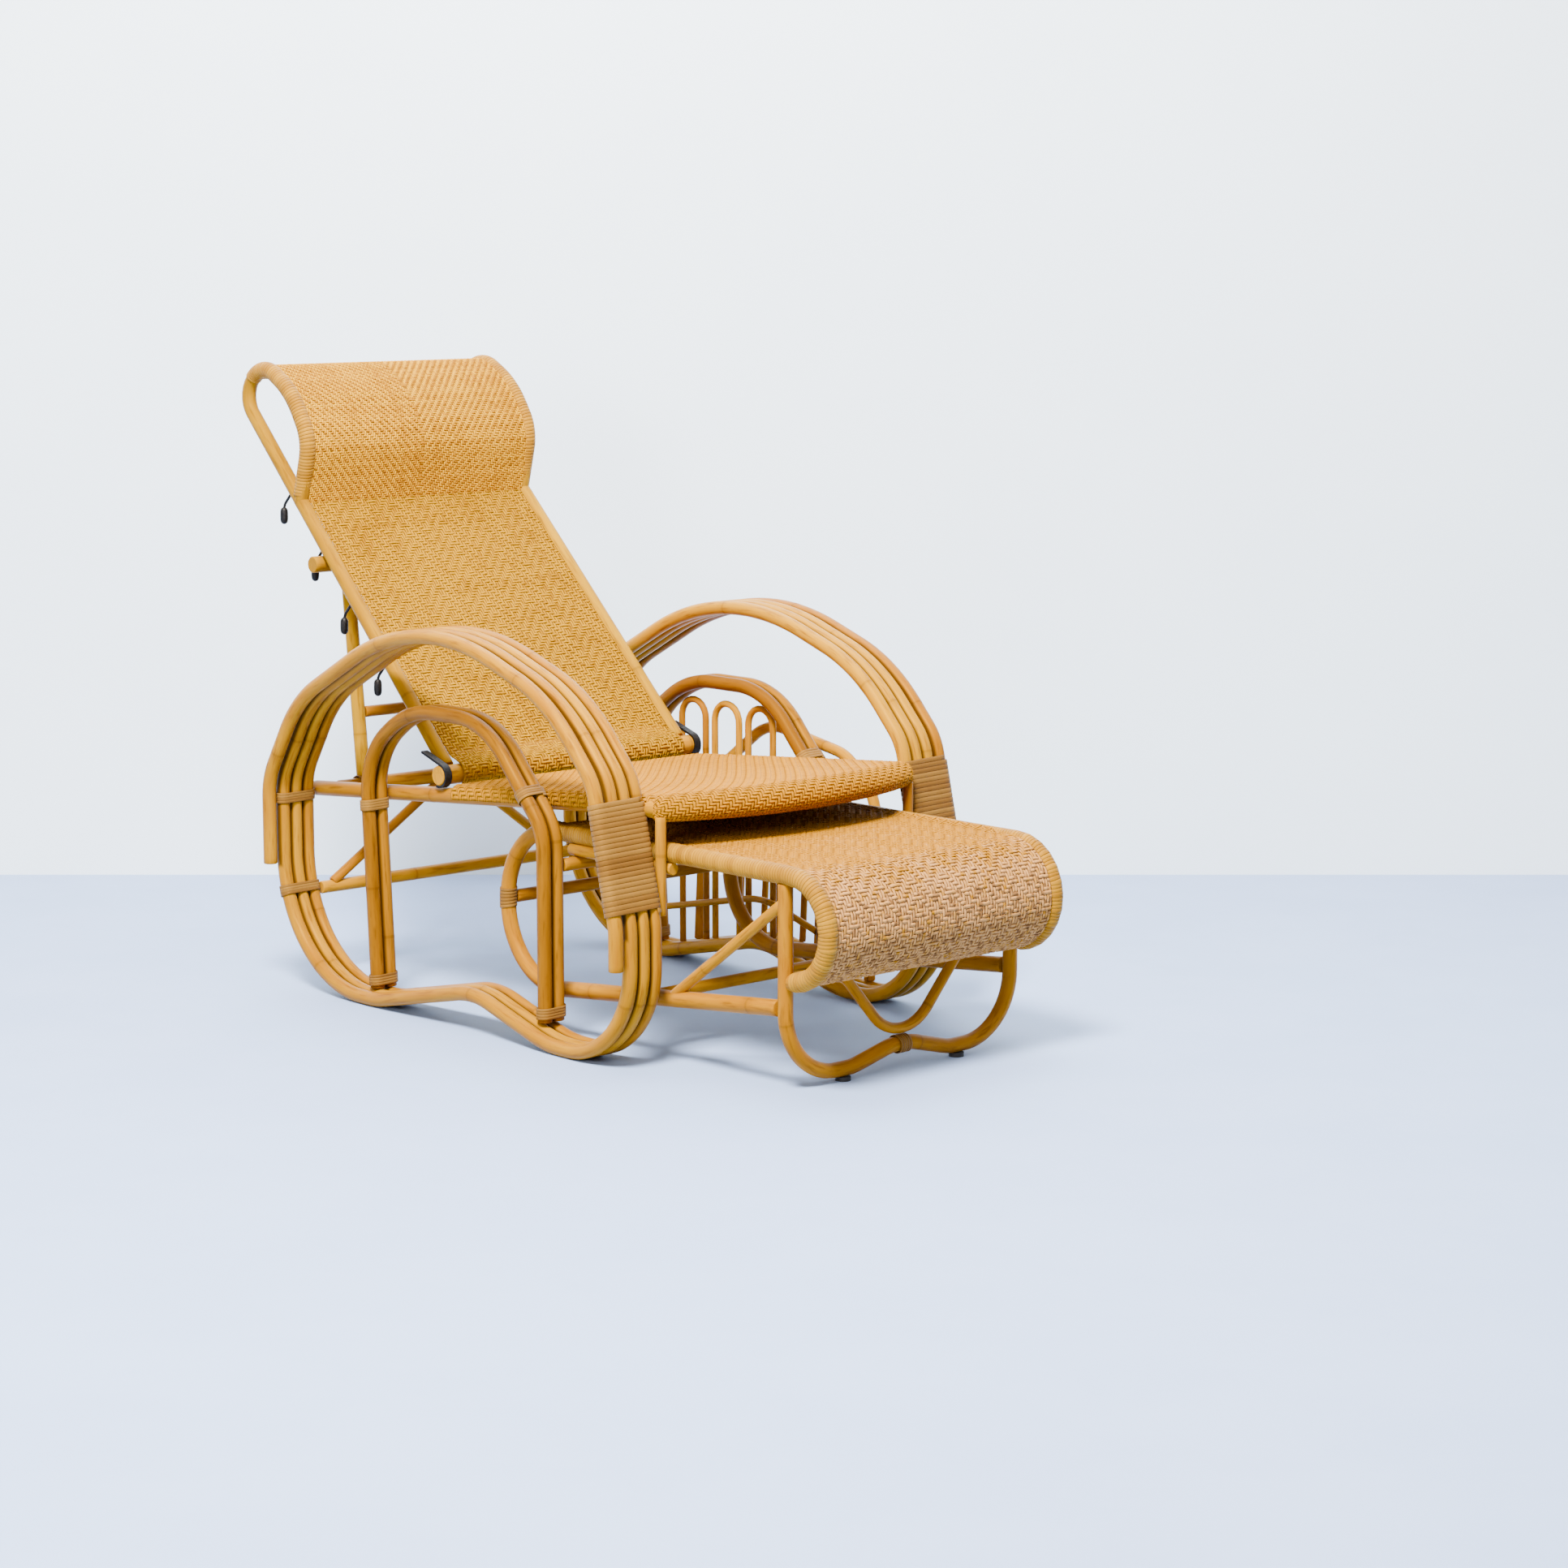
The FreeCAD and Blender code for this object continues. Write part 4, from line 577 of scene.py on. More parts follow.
def slot_outline(half_span, radius):
    """Slot for a winding round a row of canes, spread evenly by length."""
    def outline(angle, rise):
        """Offsets across and beside the row."""
        reach = radius + rise
        half_round = 2 * half_span + math.pi * reach
        s = (angle % math.tau) / math.pi * half_round
        side = np.where(s < half_round, 1, -1)
        s = s % half_round
        turn = np.clip((s - 2 * half_span) / reach, 0, None)
        across = np.where(turn > 0, -half_span - reach * np.sin(turn), half_span - s)
        return side * across, side * reach * np.cos(turn)
    return outline


def crosswise(half_length, y, z):
    """Ends of a straight pole across the chair."""
    return [((-half_length, y, z), 0), ((half_length, y, z), 0)]


def straight(start, end, first=0.0, last=0.0):
    """Ends of a straight pole between two points, cut short by what it meets at the first and the last."""
    start, end = Vector(start), Vector(end)
    run = (end - start).normalized()
    return [(start + run * first, 0), (end - run * last, 0)]


# Arm loops and arches

CANE_X = (335.8, 310.2, 287.8, 265.4)
ARCH_X = (CANE_X[2] + CANE_X[3]) / 2
# Side-view corners, each with its bend radius.
LOOP = [
    (475, 11, 200), (475, 330, 100), (394, 460, 220), (81, 625, 437), (-224, 518, 300), (-321, 413, 90),
    (-369, 210, 100), (-369, 11, 140), (-181, 11, 200), (-8, 62, 160), (235, 11, 200),
]
OUTER = [(475, 195, 0)] + LOOP[1:7] + [(-369, 151, 0)]
ARCH = [(262, 22.8, 0), (283, 385, 120), (170, 464, 180), (-15, 464, 150), (-149, 318, 80), (-149, 36.2, 0)]
# Height above which the outer arm cane lies beside the first loop.
OUTER_LOW = 190
# Bindings: the side-view point where each starts, and its length along the canes.
FRONT_BINDING = (-327.4, 385.8, 166)
REAR_TIES = ((465, 140, 21), (475, 287, 21))
ARCH_TIES = ((262, 26, 21), (278, 296, 21), (-149, 39.5, -21), (-100, 372, 21))
WRAP = CANE / 2 + 1.6
BINDING_PITCH = 7.2
TIE_PITCH = 4.6
LINE_POINTS = 40
SEARCH_POINTS = 4000
SEARCH_STEP = 1.0


def between(corners, start, length):
    """Stretch of a bent line."""
    array, reach = measured(bent_line(corners))
    return sampled(array, reach, np.linspace(start, start + length, LINE_POINTS))


def nearest(corners, y, z):
    """Distance along a bent line to the place nearest a side-view point."""
    array, reach = measured(bent_line(corners, step=SEARCH_STEP))
    fine = np.linspace(0, reach[-1], SEARCH_POINTS)
    places = sampled(array, reach, fine)
    return fine[np.argmin((places[:, 1] - y) ** 2 + (places[:, 2] - z) ** 2)]


def bound(label, corners, tie, half_span, pitch):
    """Binding of wound peel round a row of canes along a bent line."""
    y, z, length = tie
    line = between(corners, nearest(corners, y, z), length)
    return winding(label, line, slot_outline(half_span, WRAP), pitch)


for name, sign in SIDES:
    path = side_view(sign * CANE_X[0], OUTER)
    pole(f"{name}_arm_outer_cane", "frame", path, CANE, ARM_LOOK, "rattan_arm", touching=((-sign, 0),))
    for row in (1, 2, 3):
        sides = [(sign, OUTER_LOW if row == 1 else 0)]
        if row < 3:
            sides.append((-sign, 0))
        path = side_view(sign * CANE_X[row], LOOP)
        node = f"{name}_loop_cane_{row}"
        pole(node, "frame", path, CANE, ARM_LOOK, "rattan_arm", closed=True, touching=sides)
    for part, row, side in (("outer", 2, -sign), ("inner", 3, sign)):
        path = side_view(sign * CANE_X[row], ARCH)
        # The arches take the browner look painted with shade.
        pole(f"{name}_arch_{part}_cane", "frame", path, CANE, SHADED_ARCH_LOOK, touching=((side, 0),))

    path = side_view(sign * (CANE_X[0] + CANE_X[3]) / 2, LOOP[4:8])
    half_span = (CANE_X[0] - CANE_X[3]) / 2
    strip = bound(f"{name}_front_winding", path, FRONT_BINDING, half_span, BINDING_PITCH)
    binding(strip, "frame", f"{name}_front_binding")

    rear_path = side_view(sign * CANE_X[2], LOOP[-1:] + LOOP[:3])
    arch_path = side_view(sign * ARCH_X, ARCH)
    for part, path, half_span, places in (
        ("rear", rear_path, CANE_X[1] - CANE_X[2], REAR_TIES),
        ("arch", arch_path, (CANE_X[2] - CANE_X[3]) / 2, ARCH_TIES),
    ):
        ties = []
        for k, tie in enumerate(places):
            ties.append(bound(f"{name}_{part}_winding_{k}", path, tie, half_span, TIE_PITCH))
        binding(joined(f"{name}_{part}_windings", ties), "frame", f"{name}_{part}_bindings")

# Seat frame, rear frame and footrest guides

# Diameters of the poles.
RAIL = 24.0
FRONT_RAIL = 26
STRETCHER = 20
ROD = 18
BRACE = 16
# Side rails of the seat, which rise to the front.
SLOPE = math.radians(4.64)
RAIL_X = 239.0
RAIL_Z = 343.0
INSIDE = RAIL_X - RAIL / 2
# Front rail, bowed forward.
BOW = 40.0
BOW_RADIUS = (RAIL_X ** 2 + BOW ** 2) / (2 * BOW)
BOW_BEND = 2000.0
BOW_STOPS = np.linspace(-232, 232, 9)
FRONT_Y = -390.0
FRONT_Z = 370.0
# Rods under the seat, and side-view points of the rear rail and stretcher.
ROD_STOPS = (-60, -230)
ROD_LIFT = 2.9
REAR_RAIL = (442, 307.1)
REAR_STRETCHER = (462, 148)
STRETCHER_HALF = 251


def rail_z(y):
    """Height of the seat rails."""
    return RAIL_Z - y * math.tan(SLOPE)


def front_y(x):
    """Front edge of the seat, bowed forward in the middle."""
    return FRONT_Y + BOW_RADIUS - np.sqrt(BOW_RADIUS ** 2 - np.asarray(x) ** 2)


# Side poles: x, the side-view points of both ends, and the diameter.
SIDE_POLES = (
    ("seat_rail", RAIL_X, (486, rail_z(486)), (-356, rail_z(-356)), RAIL),
    ("guide_rail", 226, (-366, 283.6), (-137, 283.6), ROD),
    ("guide_post", 243.1, (-358, 218), (-358, rail_z(-358) - 12.8), BRACE),
)
for name, sign in SIDES:
    for part, x, start, end, diameter in SIDE_POLES:
        pole(f"{name}_{part}", "frame", straight((sign * x, *start), (sign * x, *end)), diameter)

bow = [((x, float(front_y(x)), FRONT_Z), BOW_BEND) for x in BOW_STOPS]
pole("front_seat_rail", "frame", bow, FRONT_RAIL)
rods = []
for k, y in enumerate(ROD_STOPS):
    rods.append(cane(f"seat_rod_{k}", crosswise(INSIDE, y, rail_z(y) + ROD_LIFT), ROD))
pole_group("seat_cross_rods", "frame", rods)
pole("rear_seat_rail", "frame", crosswise(INSIDE, *REAR_RAIL), RAIL)
pole("rear_stretcher", "frame", crosswise(STRETCHER_HALF, *REAR_STRETCHER), STRETCHER)
braces = []
for name, sign in SIDES:
    top = (sign * 14, *REAR_RAIL)
    foot = (sign * 238, *REAR_STRETCHER)
    braces.append(cane(f"{name}_brace", straight(top, foot, first=9, last=12), BRACE))
pole_group("rear_braces", "frame", braces)
pole("footrest_stop_rail", "frame", crosswise(half_length=254, y=-149, z=264.5), STRETCHER)

# Magazine rack in the left side

SPINDLE = 11.0
SPINDLE_HALF = 29
SPINDLE_BEND = 28.4
SPINDLE_INTERNODE = 300.0
LEAN = math.radians(3.0)
TIE_X = 265.5
TIE_LIFT = 59
# The loops' bottom rail, behind their front bend.
BOTTOM_FRONT = -340


def rail_top(y):
    """Top of the loops' bottom rail under the rack."""
    array = measured(bent_line(side_view(0, LOOP[7:])))[0]
    low = array[array[:, 1] > BOTTOM_FRONT]
    low = low[np.argsort(low[:, 1])]
    return float(np.interp(y, low[:, 1], low[:, 2])) + CANE / 2


def inner_wall(corners):
    """Corners on the rack's upright inner wall."""
    return side_view(ARCH_X, corners)


def outer_wall(corners):
    """Corners on the outward leaning wall of the rack."""
    foot = CANE_X[1]
    return [((foot + z * math.sin(LEAN), y, z * math.cos(LEAN)), bend) for y, z, bend in corners]


def hairpin(label, middle, top, wall):
    """Bent spindle with two legs, on a wall of the rack."""
    legs = (middle + SPINDLE_HALF, middle - SPINDLE_HALF)
    feet = [(y, rail_top(y), 0) for y in legs]
    bends = [(y, top, SPINDLE_BEND) for y in legs]
    return cane(label, wall([feet[0], *bends, feet[1]]), SPINDLE, internode=SPINDLE_INTERNODE)


# Spindles of each wall: their top, and the middle of each.
WALLS = (("inner", inner_wall, 430, (9, 89, 169)), ("outer", outer_wall, 332, (-112, -20, 72)))
for part, wall, top, stops in WALLS:
    spindles = [hairpin(f"{part}_spindle_{k}", y, top, wall) for k, y in enumerate(stops)]
    pole_group(f"rack_{part}_spindles", "frame", spindles)
tie = [(247, rail_top(247) + TIE_LIFT, 0), (-8, 132, 160), (-134, rail_top(-134) + TIE_LIFT, 0)]
pole("rack_tie_rail", "frame", side_view(TIE_X, tie), SPINDLE)
arch = [
    (197, rail_top(197), 0), (197, 290, 90), (50, 400, 90),
    (-130, 368, 90), (-205, 310, 90), (-205, rail_top(-205), 0),
]
pole("rack_outer_arch", "frame", outer_wall(arch), ROD)

# Backrest and prop

# A place on the back is its n behind the hinge and its t along the stile.
BACK_SLOPE = math.radians(44.5)
BACK_SIN = math.sin(BACK_SLOPE)
BACK_COS = math.cos(BACK_SLOPE)
HINGE_Y = 145.0
HINGE_Z = 362.4
STILE = 23
STILE_X = 230.0
TAPER = math.tan(math.radians(0.97))
STILE_FOOT = (0.2, 15.3)
HOOP_TOP = 779.5
HOOP = [(9, HOOP_TOP, 38), (-70, HOOP_TOP, 50), (-96, 690, 150), (-78, 605, 70)]
HOOP_END = (8.0, 552.0)
RIM_ENDS = ((-30.0, HOOP_TOP), (2.0, 558.0))
RIM_STEP = 2.0
# The woven panel lies ahead of the stiles' middle, and the rails behind it.
PANEL_AHEAD = 5
PANEL_HALF = 3.5
RAIL_BEHIND = 9.1
RAIL_INSET = 11.8
BACK_RAILS = (300.0, 575.0)


def back_place(x, n, t):
    """Places on the backrest."""
    y = HINGE_Y + BACK_COS * n + BACK_SIN * t
    z = HINGE_Z - BACK_SIN * n + BACK_COS * t
    return np.stack((x + 0 * t, y, z), axis=-1)


def back_point(x, n, t):
    """One place on the backrest, as plain numbers."""
    return tuple(float(v) for v in back_place(x, n, t))


def stile_half(t):
    """Half of the width between the stiles, which lean inward."""
    return STILE_X - t * TAPER


def stile_n(t):
    """How far behind the hinge the middle of a stile is."""
    return 7 * t / 600


def stile_point(sign, n, t):
    """Point on a stile."""
    return back_point(sign * stile_half(t), n, t)


for name, sign in SIDES:
    hoop = [(stile_point(sign, n, t), bend) for n, t, bend in HOOP]
    path = [(stile_point(sign, *STILE_FOOT), 0)] + hoop + [(stile_point(sign, *HOOP_END), 0)]
    pole(f"{name}_back_stile", "backrest", path, STILE, STILE_LOOK)
    start, end = [(stile_point(sign, *place), 0) for place in RIM_ENDS]
    rim = bent_line([start] + hoop[1:] + [end], step=RIM_STEP)
    strip = winding(f"{name}_headrest_rim", rim, round_outline(radius=12.2), pitch=5.0)
    dress(strip, "backrest", "headrest_weave", (RIM_LOOK,))

rails = []
for k, t in enumerate(BACK_RAILS):
    n = stile_n(t) - PANEL_AHEAD + PANEL_HALF + RAIL_BEHIND
    half = stile_half(t) - RAIL_INSET
    rails.append(cane(f"back_rail_{k}", straight(back_point(-half, n, t), back_point(half, n, t)), ROD))
pole_group("back_cross_rails", "backrest", rails)
pole("hinge_pole", "backrest", crosswise(half_length=256, y=HINGE_Y, z=HINGE_Z), diameter=30)

# Iron hooks: a bent wire out of the stile, and a thick rounded finger on it.
HOOKS = (583.0, 463.0, 353.0, 228.0)
HOOK_DROP = 5.0
HOOK_WIRE = 4.5
HOOK_SUNK = 8
HOOK_REACH = 29.5
HOOK_BEND = 7
FINGER = 29
FINGER_RADIUS = 6.3
FINGER_START = 0.08
FINGER_LENGTH = 0.94
FINGER_ROUNDING = 0.97
FINGER_POINTS = 21
IRON_EDGE = math.radians(50)
for name, sign in SIDES:
    irons = []
    for k, mark in enumerate(HOOKS):
        t = mark - HOOK_DROP + HOOK_WIRE / 2
        n = stile_n(t) + STILE / 2
        out = n + HOOK_REACH
        corner = Vector(stile_point(sign, out, t))
        tip = Vector(stile_point(sign, out + FINGER * BACK_SIN, t - FINGER * BACK_COS))
        wire = [(stile_point(sign, n - HOOK_SUNK, t), 0), (corner, HOOK_BEND), (tip, 0)]
        irons.append(cane(f"{name}_hook_wire_{k}", wire, HOOK_WIRE))
        share = np.linspace(0, 1, FINGER_POINTS)
        places = np.array([corner.lerp(tip, FINGER_START + FINGER_LENGTH * a) for a in share]) * MM
        radii = FINGER_RADIUS * MM * np.sqrt(1 - FINGER_ROUNDING * (2 * share - 1) ** 4)
        irons.append(rounded(f"{name}_hook_finger_{k}", places, radii))
    hooks = joined(f"{name}_prop_hooks_irons", irons)
    dress(hooks, "backrest", "black_iron", (IRON_LOOK, IRON_LOOK), f"{name}_prop_hooks")
    only(hooks)
    bpy.ops.object.shade_smooth_by_angle(angle=IRON_EDGE)

PROP_FOOT = Vector((0, *REAR_RAIL))
PROP_HEAD = Vector((0, 478.1, 657.6))
PROP_X = 178
RUNG_RISE = 115
RING_HALF = 14
RING_POINTS = 21
pole("prop_rod", "prop", crosswise(244, PROP_HEAD.y, PROP_HEAD.z), diameter=26, look=STILE_LOOK)
rings = []
for name, sign in SIDES:
    shift = Vector((sign * PROP_X, 0, 0))
    foot = PROP_FOOT + shift
    ends = straight(foot, PROP_HEAD + shift, first=15, last=12)
    pole(f"{name}_prop_pole", "prop", ends, diameter=22, look=STILE_LOOK)
    line = [foot + Vector((x, 0, 0)) for x in np.linspace(-RING_HALF, RING_HALF, RING_POINTS)]
    outline = round_outline(radius=14.6)
    rings.append(winding(f"{name}_prop_ring", line, outline, TIE_PITCH, across=(0.0, 1.0, 0.0), thick=3.4))
binding(joined("prop_rings", rings), "prop", "prop_foot_bindings")
rung = PROP_FOOT + (PROP_HEAD - PROP_FOOT).normalized() * RUNG_RISE
pole("prop_rung", "prop", crosswise(167, rung.y, rung.z), ROD)

# Footrest

FOOT_X = 221.0
FOOT_TOP = 305.0
FOOT_BAR = 157
FOOT_INSIDE = FOOT_X - RAIL / 2
FOOT_SIDE = [
    (-582.6, 117, 0), (20, 57, 115), (20, FOOT_TOP, 115), (-681.1, FOOT_TOP, 73.9),
    (-681.1, FOOT_BAR, 73.9), (-606.1, FOOT_BAR, 0),
]
# Side-view points where the wound rims start and end, and where the wraps start.
FOOT_RIM = ((-92, FOOT_TOP), (-612, FOOT_BAR))
FOOT_WRAP = (20, 172)
FOOT_PITCH = 5.2
LEG_Y = -595
LEG_LOW = 36
HALF_LEG = [(FOOT_X, 292.9, 0), (FOOT_X, 17, 95), (95, 17, 80), (20, LEG_LOW, 60)]
LEG_WRAP = np.linspace(-13, 13, 20)


def runner_z(y):
    """Height of the lower run of the footrest's side poles."""
    (fore_y, fore_z, _), (rear_y, rear_z, _) = FOOT_SIDE[:2]
    return rear_z + (fore_z - rear_z) * (y - rear_y) / (fore_y - rear_y)


for name, sign in SIDES:
    path = side_view(sign * FOOT_X, FOOT_SIDE)
    pole(f"{name}_footrest_side_pole", "footrest", path, RAIL)
    start, end = [nearest(path, *place) for place in FOOT_RIM]
    rim = between(path, start, end - start)
    strip = winding(f"{name}_footrest_rim", rim, round_outline(radius=13.2), FOOT_PITCH)
    dress(strip, "footrest", "footrest_weave", (RIM_LOOK,))
    wrap = between(path, nearest(path, *FOOT_WRAP), length=36)
    strip = winding(f"{name}_footrest_wrap", wrap, round_outline(radius=12.6), FOOT_PITCH)
    binding(strip, "footrest")

leg = [((-x, LEG_Y, z), bend) for x, z, bend in HALF_LEG]
leg += [((x, LEG_Y, z), bend) for x, z, bend in reversed(HALF_LEG)]
pole("footrest_front_leg", "footrest", leg, CANE)
# Poles across: half the length, the side-view point and the diameter.
CROSS_POLES = (
    ("front_bar", 209.9, LEG_Y, FOOT_BAR, STRETCHER), ("rear_bar", FOOT_INSIDE, 20, 190, STRETCHER),
    ("bearer_front", FOOT_INSIDE, -560, 299.4, ROD), ("bearer_rear", FOOT_INSIDE, -80, 299.4, ROD),
    ("runner_bar", FOOT_INSIDE, -300, runner_z(-300), ROD),
)
bars = [cane(f"footrest_{part}", crosswise(*place), diameter) for part, *place, diameter in CROSS_POLES]
pole_group("footrest_cross_poles", "footrest", bars)
vee = [((-110, LEG_Y, 148), 0), ((0, LEG_Y, 22.2), 70), ((110, LEG_Y, 148), 0)]
pole("footrest_v_brace", "footrest", vee, BRACE)
diagonals = []
for name, sign in SIDES:
    low = (sign * FOOT_X, -351, runner_z(-351))
    high = (sign * FOOT_X, LEG_Y, 268)
    diagonals.append(cane(f"{name}_diagonal", straight(low, high, first=9, last=9), BRACE))
pole_group("footrest_diagonals", "footrest", diagonals)
line = [Vector((x, LEG_Y, LEG_LOW)) for x in LEG_WRAP]
outline = round_outline(radius=12.6)
strip = winding("footrest_leg_winding", line, outline, pitch=4.4, across=(0.0, 1.0, 0.0), thick=2.4)
binding(strip, "footrest", "footrest_leg_binding")

# Woven panels

# More strands than any panel has, for a twill that never turns back.
NO_TURN = 200
# The back's weave goes round the hinge pole and by a knee up the stiles, the headrest's round the hoops.
HUG = 18.6
KNEE = (stile_n(30) - PANEL_AHEAD, 30)
HUG_LEAN = math.atan2(-KNEE[0], KNEE[1]) + math.acos(HUG / math.hypot(*KNEE))
HUG_RUN = HUG * (1 + math.cos(HUG_LEAN)) / math.sin(HUG_LEAN)
HUG_CORNER = -HUG * math.sin(HUG_LEAN) - HUG_RUN * math.cos(HUG_LEAN)
BACK_TOP = 548
BACK_LINE = [
    (6, -HUG, 0), (HUG_CORNER, -HUG, HUG), (*KNEE, 25), (stile_n(BACK_TOP) - PANEL_AHEAD, BACK_TOP, 0),
]
HEAD_LINE = [(6.4, 550, 0), *reversed(HOOP[1:]), (-22, HOOP_TOP, 0)]
SHEET_REACH = 4
SEAM = (0.4, 551.0)
SEAM_STOPS = np.linspace(-212, 212, 60)
# The seat's weave: its height over the rails' middle, its reach past them and bend over them, its back edge,
# the flat share of it, its turn round the front rail, and how far out the bow is followed.
SEAT_LIFT = 17.0
SEAT_PAST = 24.0
SEAT_BEND = 13.0
SEAT_BACK = 119.0
SEAT_FLAT = 0.86
SEAT_ROLL = math.radians(195)
BOW_REACH = 240
# The footrest's weave: its back edge, the middle and radius of its roll, its wrap over the side poles from
# inside to outside, the ramp up to them, its half width on the roll, and where and how gently it narrows.
FOOT_BACK = -90.0
ROLL_Y = -607.1
ROLL_Z = 231.0
ROLL_RADIUS = 81.0
EDGE_WRAP = 13.1
EDGE_IN = math.radians(-35)
EDGE_OUT = math.radians(25)
EDGE_RAMP = 18.0
ROLL_HALF = 209.5
NARROW_FROM = 462.0
NARROW_OVER = 40.0
# Tones of the footrest, from its top to its roll: where they change, and for the spread, the wildness, the
# shift and the share of painted shade in the dips, each one's start and change.
SPECKLE_FROM = 0.66
SPECKLE_OVER = 0.14
SPECKLE = ((0.25, -0.1), (0.1, 0.2), (0.0, 0.8), (0.5, 0.5))


def zigzag(number, reach):
    """Count that runs up and down, for a herringbone."""
    step = number % (2 * reach)
    return np.where(step < reach, step, 2 * reach - 1 - step)


def twill(reach_across, reach_along):
    """Two over, two under, turning back in a herringbone."""
    return lambda i, j: (zigzag(i, reach_across) + zigzag(j, reach_along)) % 4 < 2


def eased(share):
    """Share that starts and ends softly."""
    share = np.clip(share, 0, 1)
    return share * share * (3 - 2 * share)


def back_sheet(corners, outward, inset, sag):
    """Surface of a woven sheet on the backrest along a bent line of n and t."""
    array, reach = measured(bent_line([((0, n, t), bend) for n, t, bend in corners]))

    def surface(u, v):
        """Middle of the weave and its outward direction."""
        s = np.clip(v, 0, 1).ravel() * reach[-1]
        middle = sampled(array, reach, s)
        run = headings(array, reach, s, SHEET_REACH)
        out_n, out_t = -run[:, 2], run[:, 1]
        dip = outward - sag * (1 - (2 * u.ravel() - 1) ** 2) * np.sin(math.pi * s / reach[-1])
        n = middle[:, 1] + out_n * dip
        t = middle[:, 2] + out_t * dip
        x = (2 * u.ravel() - 1) * (stile_half(t) - inset)
        out_y = BACK_COS * out_n + BACK_SIN * out_t
        out_z = BACK_COS * out_t - BACK_SIN * out_n
        normals = np.stack((0 * n, out_y, out_z), axis=-1)
        return back_place(x, n, t).reshape(*u.shape, 3), normals.reshape(*u.shape, 3)

    return surface


def seat_surface(u, v):
    """Middle of the seat weave, over the side rails and round the bowed front rail."""
    w = (2 * u - 1) * (RAIL_X + SEAT_PAST)
    turn = np.clip((np.abs(w) - RAIL_X) / SEAT_BEND, 0, None)
    x = np.sign(w) * np.where(turn > 0, RAIL_X + SEAT_BEND * np.sin(turn), np.abs(w))
    drop = SEAT_LIFT * (1 - np.cos(turn))
    edge = front_y(np.clip(x, -BOW_REACH, BOW_REACH))
    normal_y, normal_z = math.sin(SLOPE), math.cos(SLOPE)
    lift = RAIL_Z + SEAT_LIFT / normal_z
    radius = (lift - edge * math.tan(SLOPE) - FRONT_Z) / normal_z
    flat = np.clip(v / SEAT_FLAT, None, 1.0)
    touch = edge + radius * normal_y
    y = SEAT_BACK + (touch - SEAT_BACK) * flat
    z = lift - y * math.tan(SLOPE)
    roll = np.clip((v - SEAT_FLAT) / (1 - SEAT_FLAT), 0, None) * SEAT_ROLL
    rolled = roll > 0
    y = np.where(rolled, edge - radius * np.sin(roll - SLOPE), y)
    z = np.where(rolled, FRONT_Z + radius * np.cos(roll - SLOPE), z)
    out_y = np.where(rolled, -np.sin(roll - SLOPE), normal_y)
    out_z = np.where(rolled, np.cos(roll - SLOPE), normal_z)
    side = np.cos(turn)
    points = np.stack((x, y - drop * out_y, z - drop * out_z), axis=-1)
    normals = np.stack((np.sign(w) * np.sin(turn), out_y * side, out_z * side), axis=-1)
    return points, normals


def foot_surface(u, v):
    """Middle of the footrest weave: flat up to the rims on the side poles, then round the front roll."""
    flat = FOOT_BACK - ROLL_Y
    s = v * (flat + math.pi * ROLL_RADIUS)
    turn = np.clip((s - flat) / ROLL_RADIUS, 0, None)
    y = np.where(turn > 0, ROLL_Y - ROLL_RADIUS * np.sin(turn), FOOT_BACK - s)
    z = ROLL_Z + ROLL_RADIUS * np.cos(turn)
    edge = FOOT_X + EDGE_WRAP * math.sin(EDGE_IN)
    w = (2 * u - 1) * (edge + EDGE_WRAP * EDGE_OUT)
    around = np.clip(EDGE_IN + (np.abs(w) - edge) / EDGE_WRAP, EDGE_IN, None)
    climb = FOOT_TOP + EDGE_WRAP * math.cos(EDGE_IN) - (ROLL_Z + ROLL_RADIUS)
    rise = eased((np.abs(w) - edge + EDGE_RAMP) / EDGE_RAMP) * climb
    on_pole = np.abs(w) > edge
    wide_x = np.sign(w) * np.where(on_pole, FOOT_X + EDGE_WRAP * np.sin(around), np.abs(w))
    wide_z = np.where(on_pole, FOOT_TOP + EDGE_WRAP * np.cos(around), z + rise)
    narrow_x = (2 * u - 1) * ROLL_HALF
    share = eased((s - NARROW_FROM) / NARROW_OVER)
    x = wide_x + (narrow_x - wide_x) * share
    z = wide_z + (z - wide_z) * share
    out_x = np.where(on_pole, np.sin(around), 0) * np.sign(w) * (1 - share)
    rest = np.sqrt(1 - out_x ** 2)
    points = np.stack((x, y, z), axis=-1)
    normals = np.stack((out_x, -np.sin(turn) * rest, np.cos(turn) * rest), axis=-1)
    return points, normals


def roll_speckle(v):
    """Calm golden top and wild brown roll of the footrest, with deeper painted shade in the roll's dips."""
    share = np.clip((v - SPECKLE_FROM) / SPECKLE_OVER, 0, 1)
    return [start + change * share for start, change in SPECKLE]


back_surface = back_sheet(BACK_LINE, outward=0.0, inset=11.0, sag=3.0)
panel = weave(
    "back_weave_splints", back_surface, columns=88, rows=108, over=twill(8, NO_TURN),
    lift=0.6, crown=0.45,
)
dress(panel, "backrest", "back_weave", (BACK_LOOK,), "back_panel")
head_surface = back_sheet(HEAD_LINE, outward=6.5, inset=7.0, sag=0.0)
panel = weave(
    "headrest_weave_strands", head_surface, columns=124, rows=88, over=twill(62, NO_TURN),
    lift=0.7, crown=0.6, contrast=0.4,
)
dress(panel, "backrest", "headrest_weave", (HEAD_LOOK,), "headrest_panel")
seam = [back_point(x, *SEAM) for x in SEAM_STOPS]
outline = round_outline(radius=2.6)
cord = winding("headrest_seam_cord", seam, outline, pitch=6.0, across=(0.0, BACK_SIN, BACK_COS))
dress(cord, "backrest", "headrest_weave", (RIM_LOOK,))
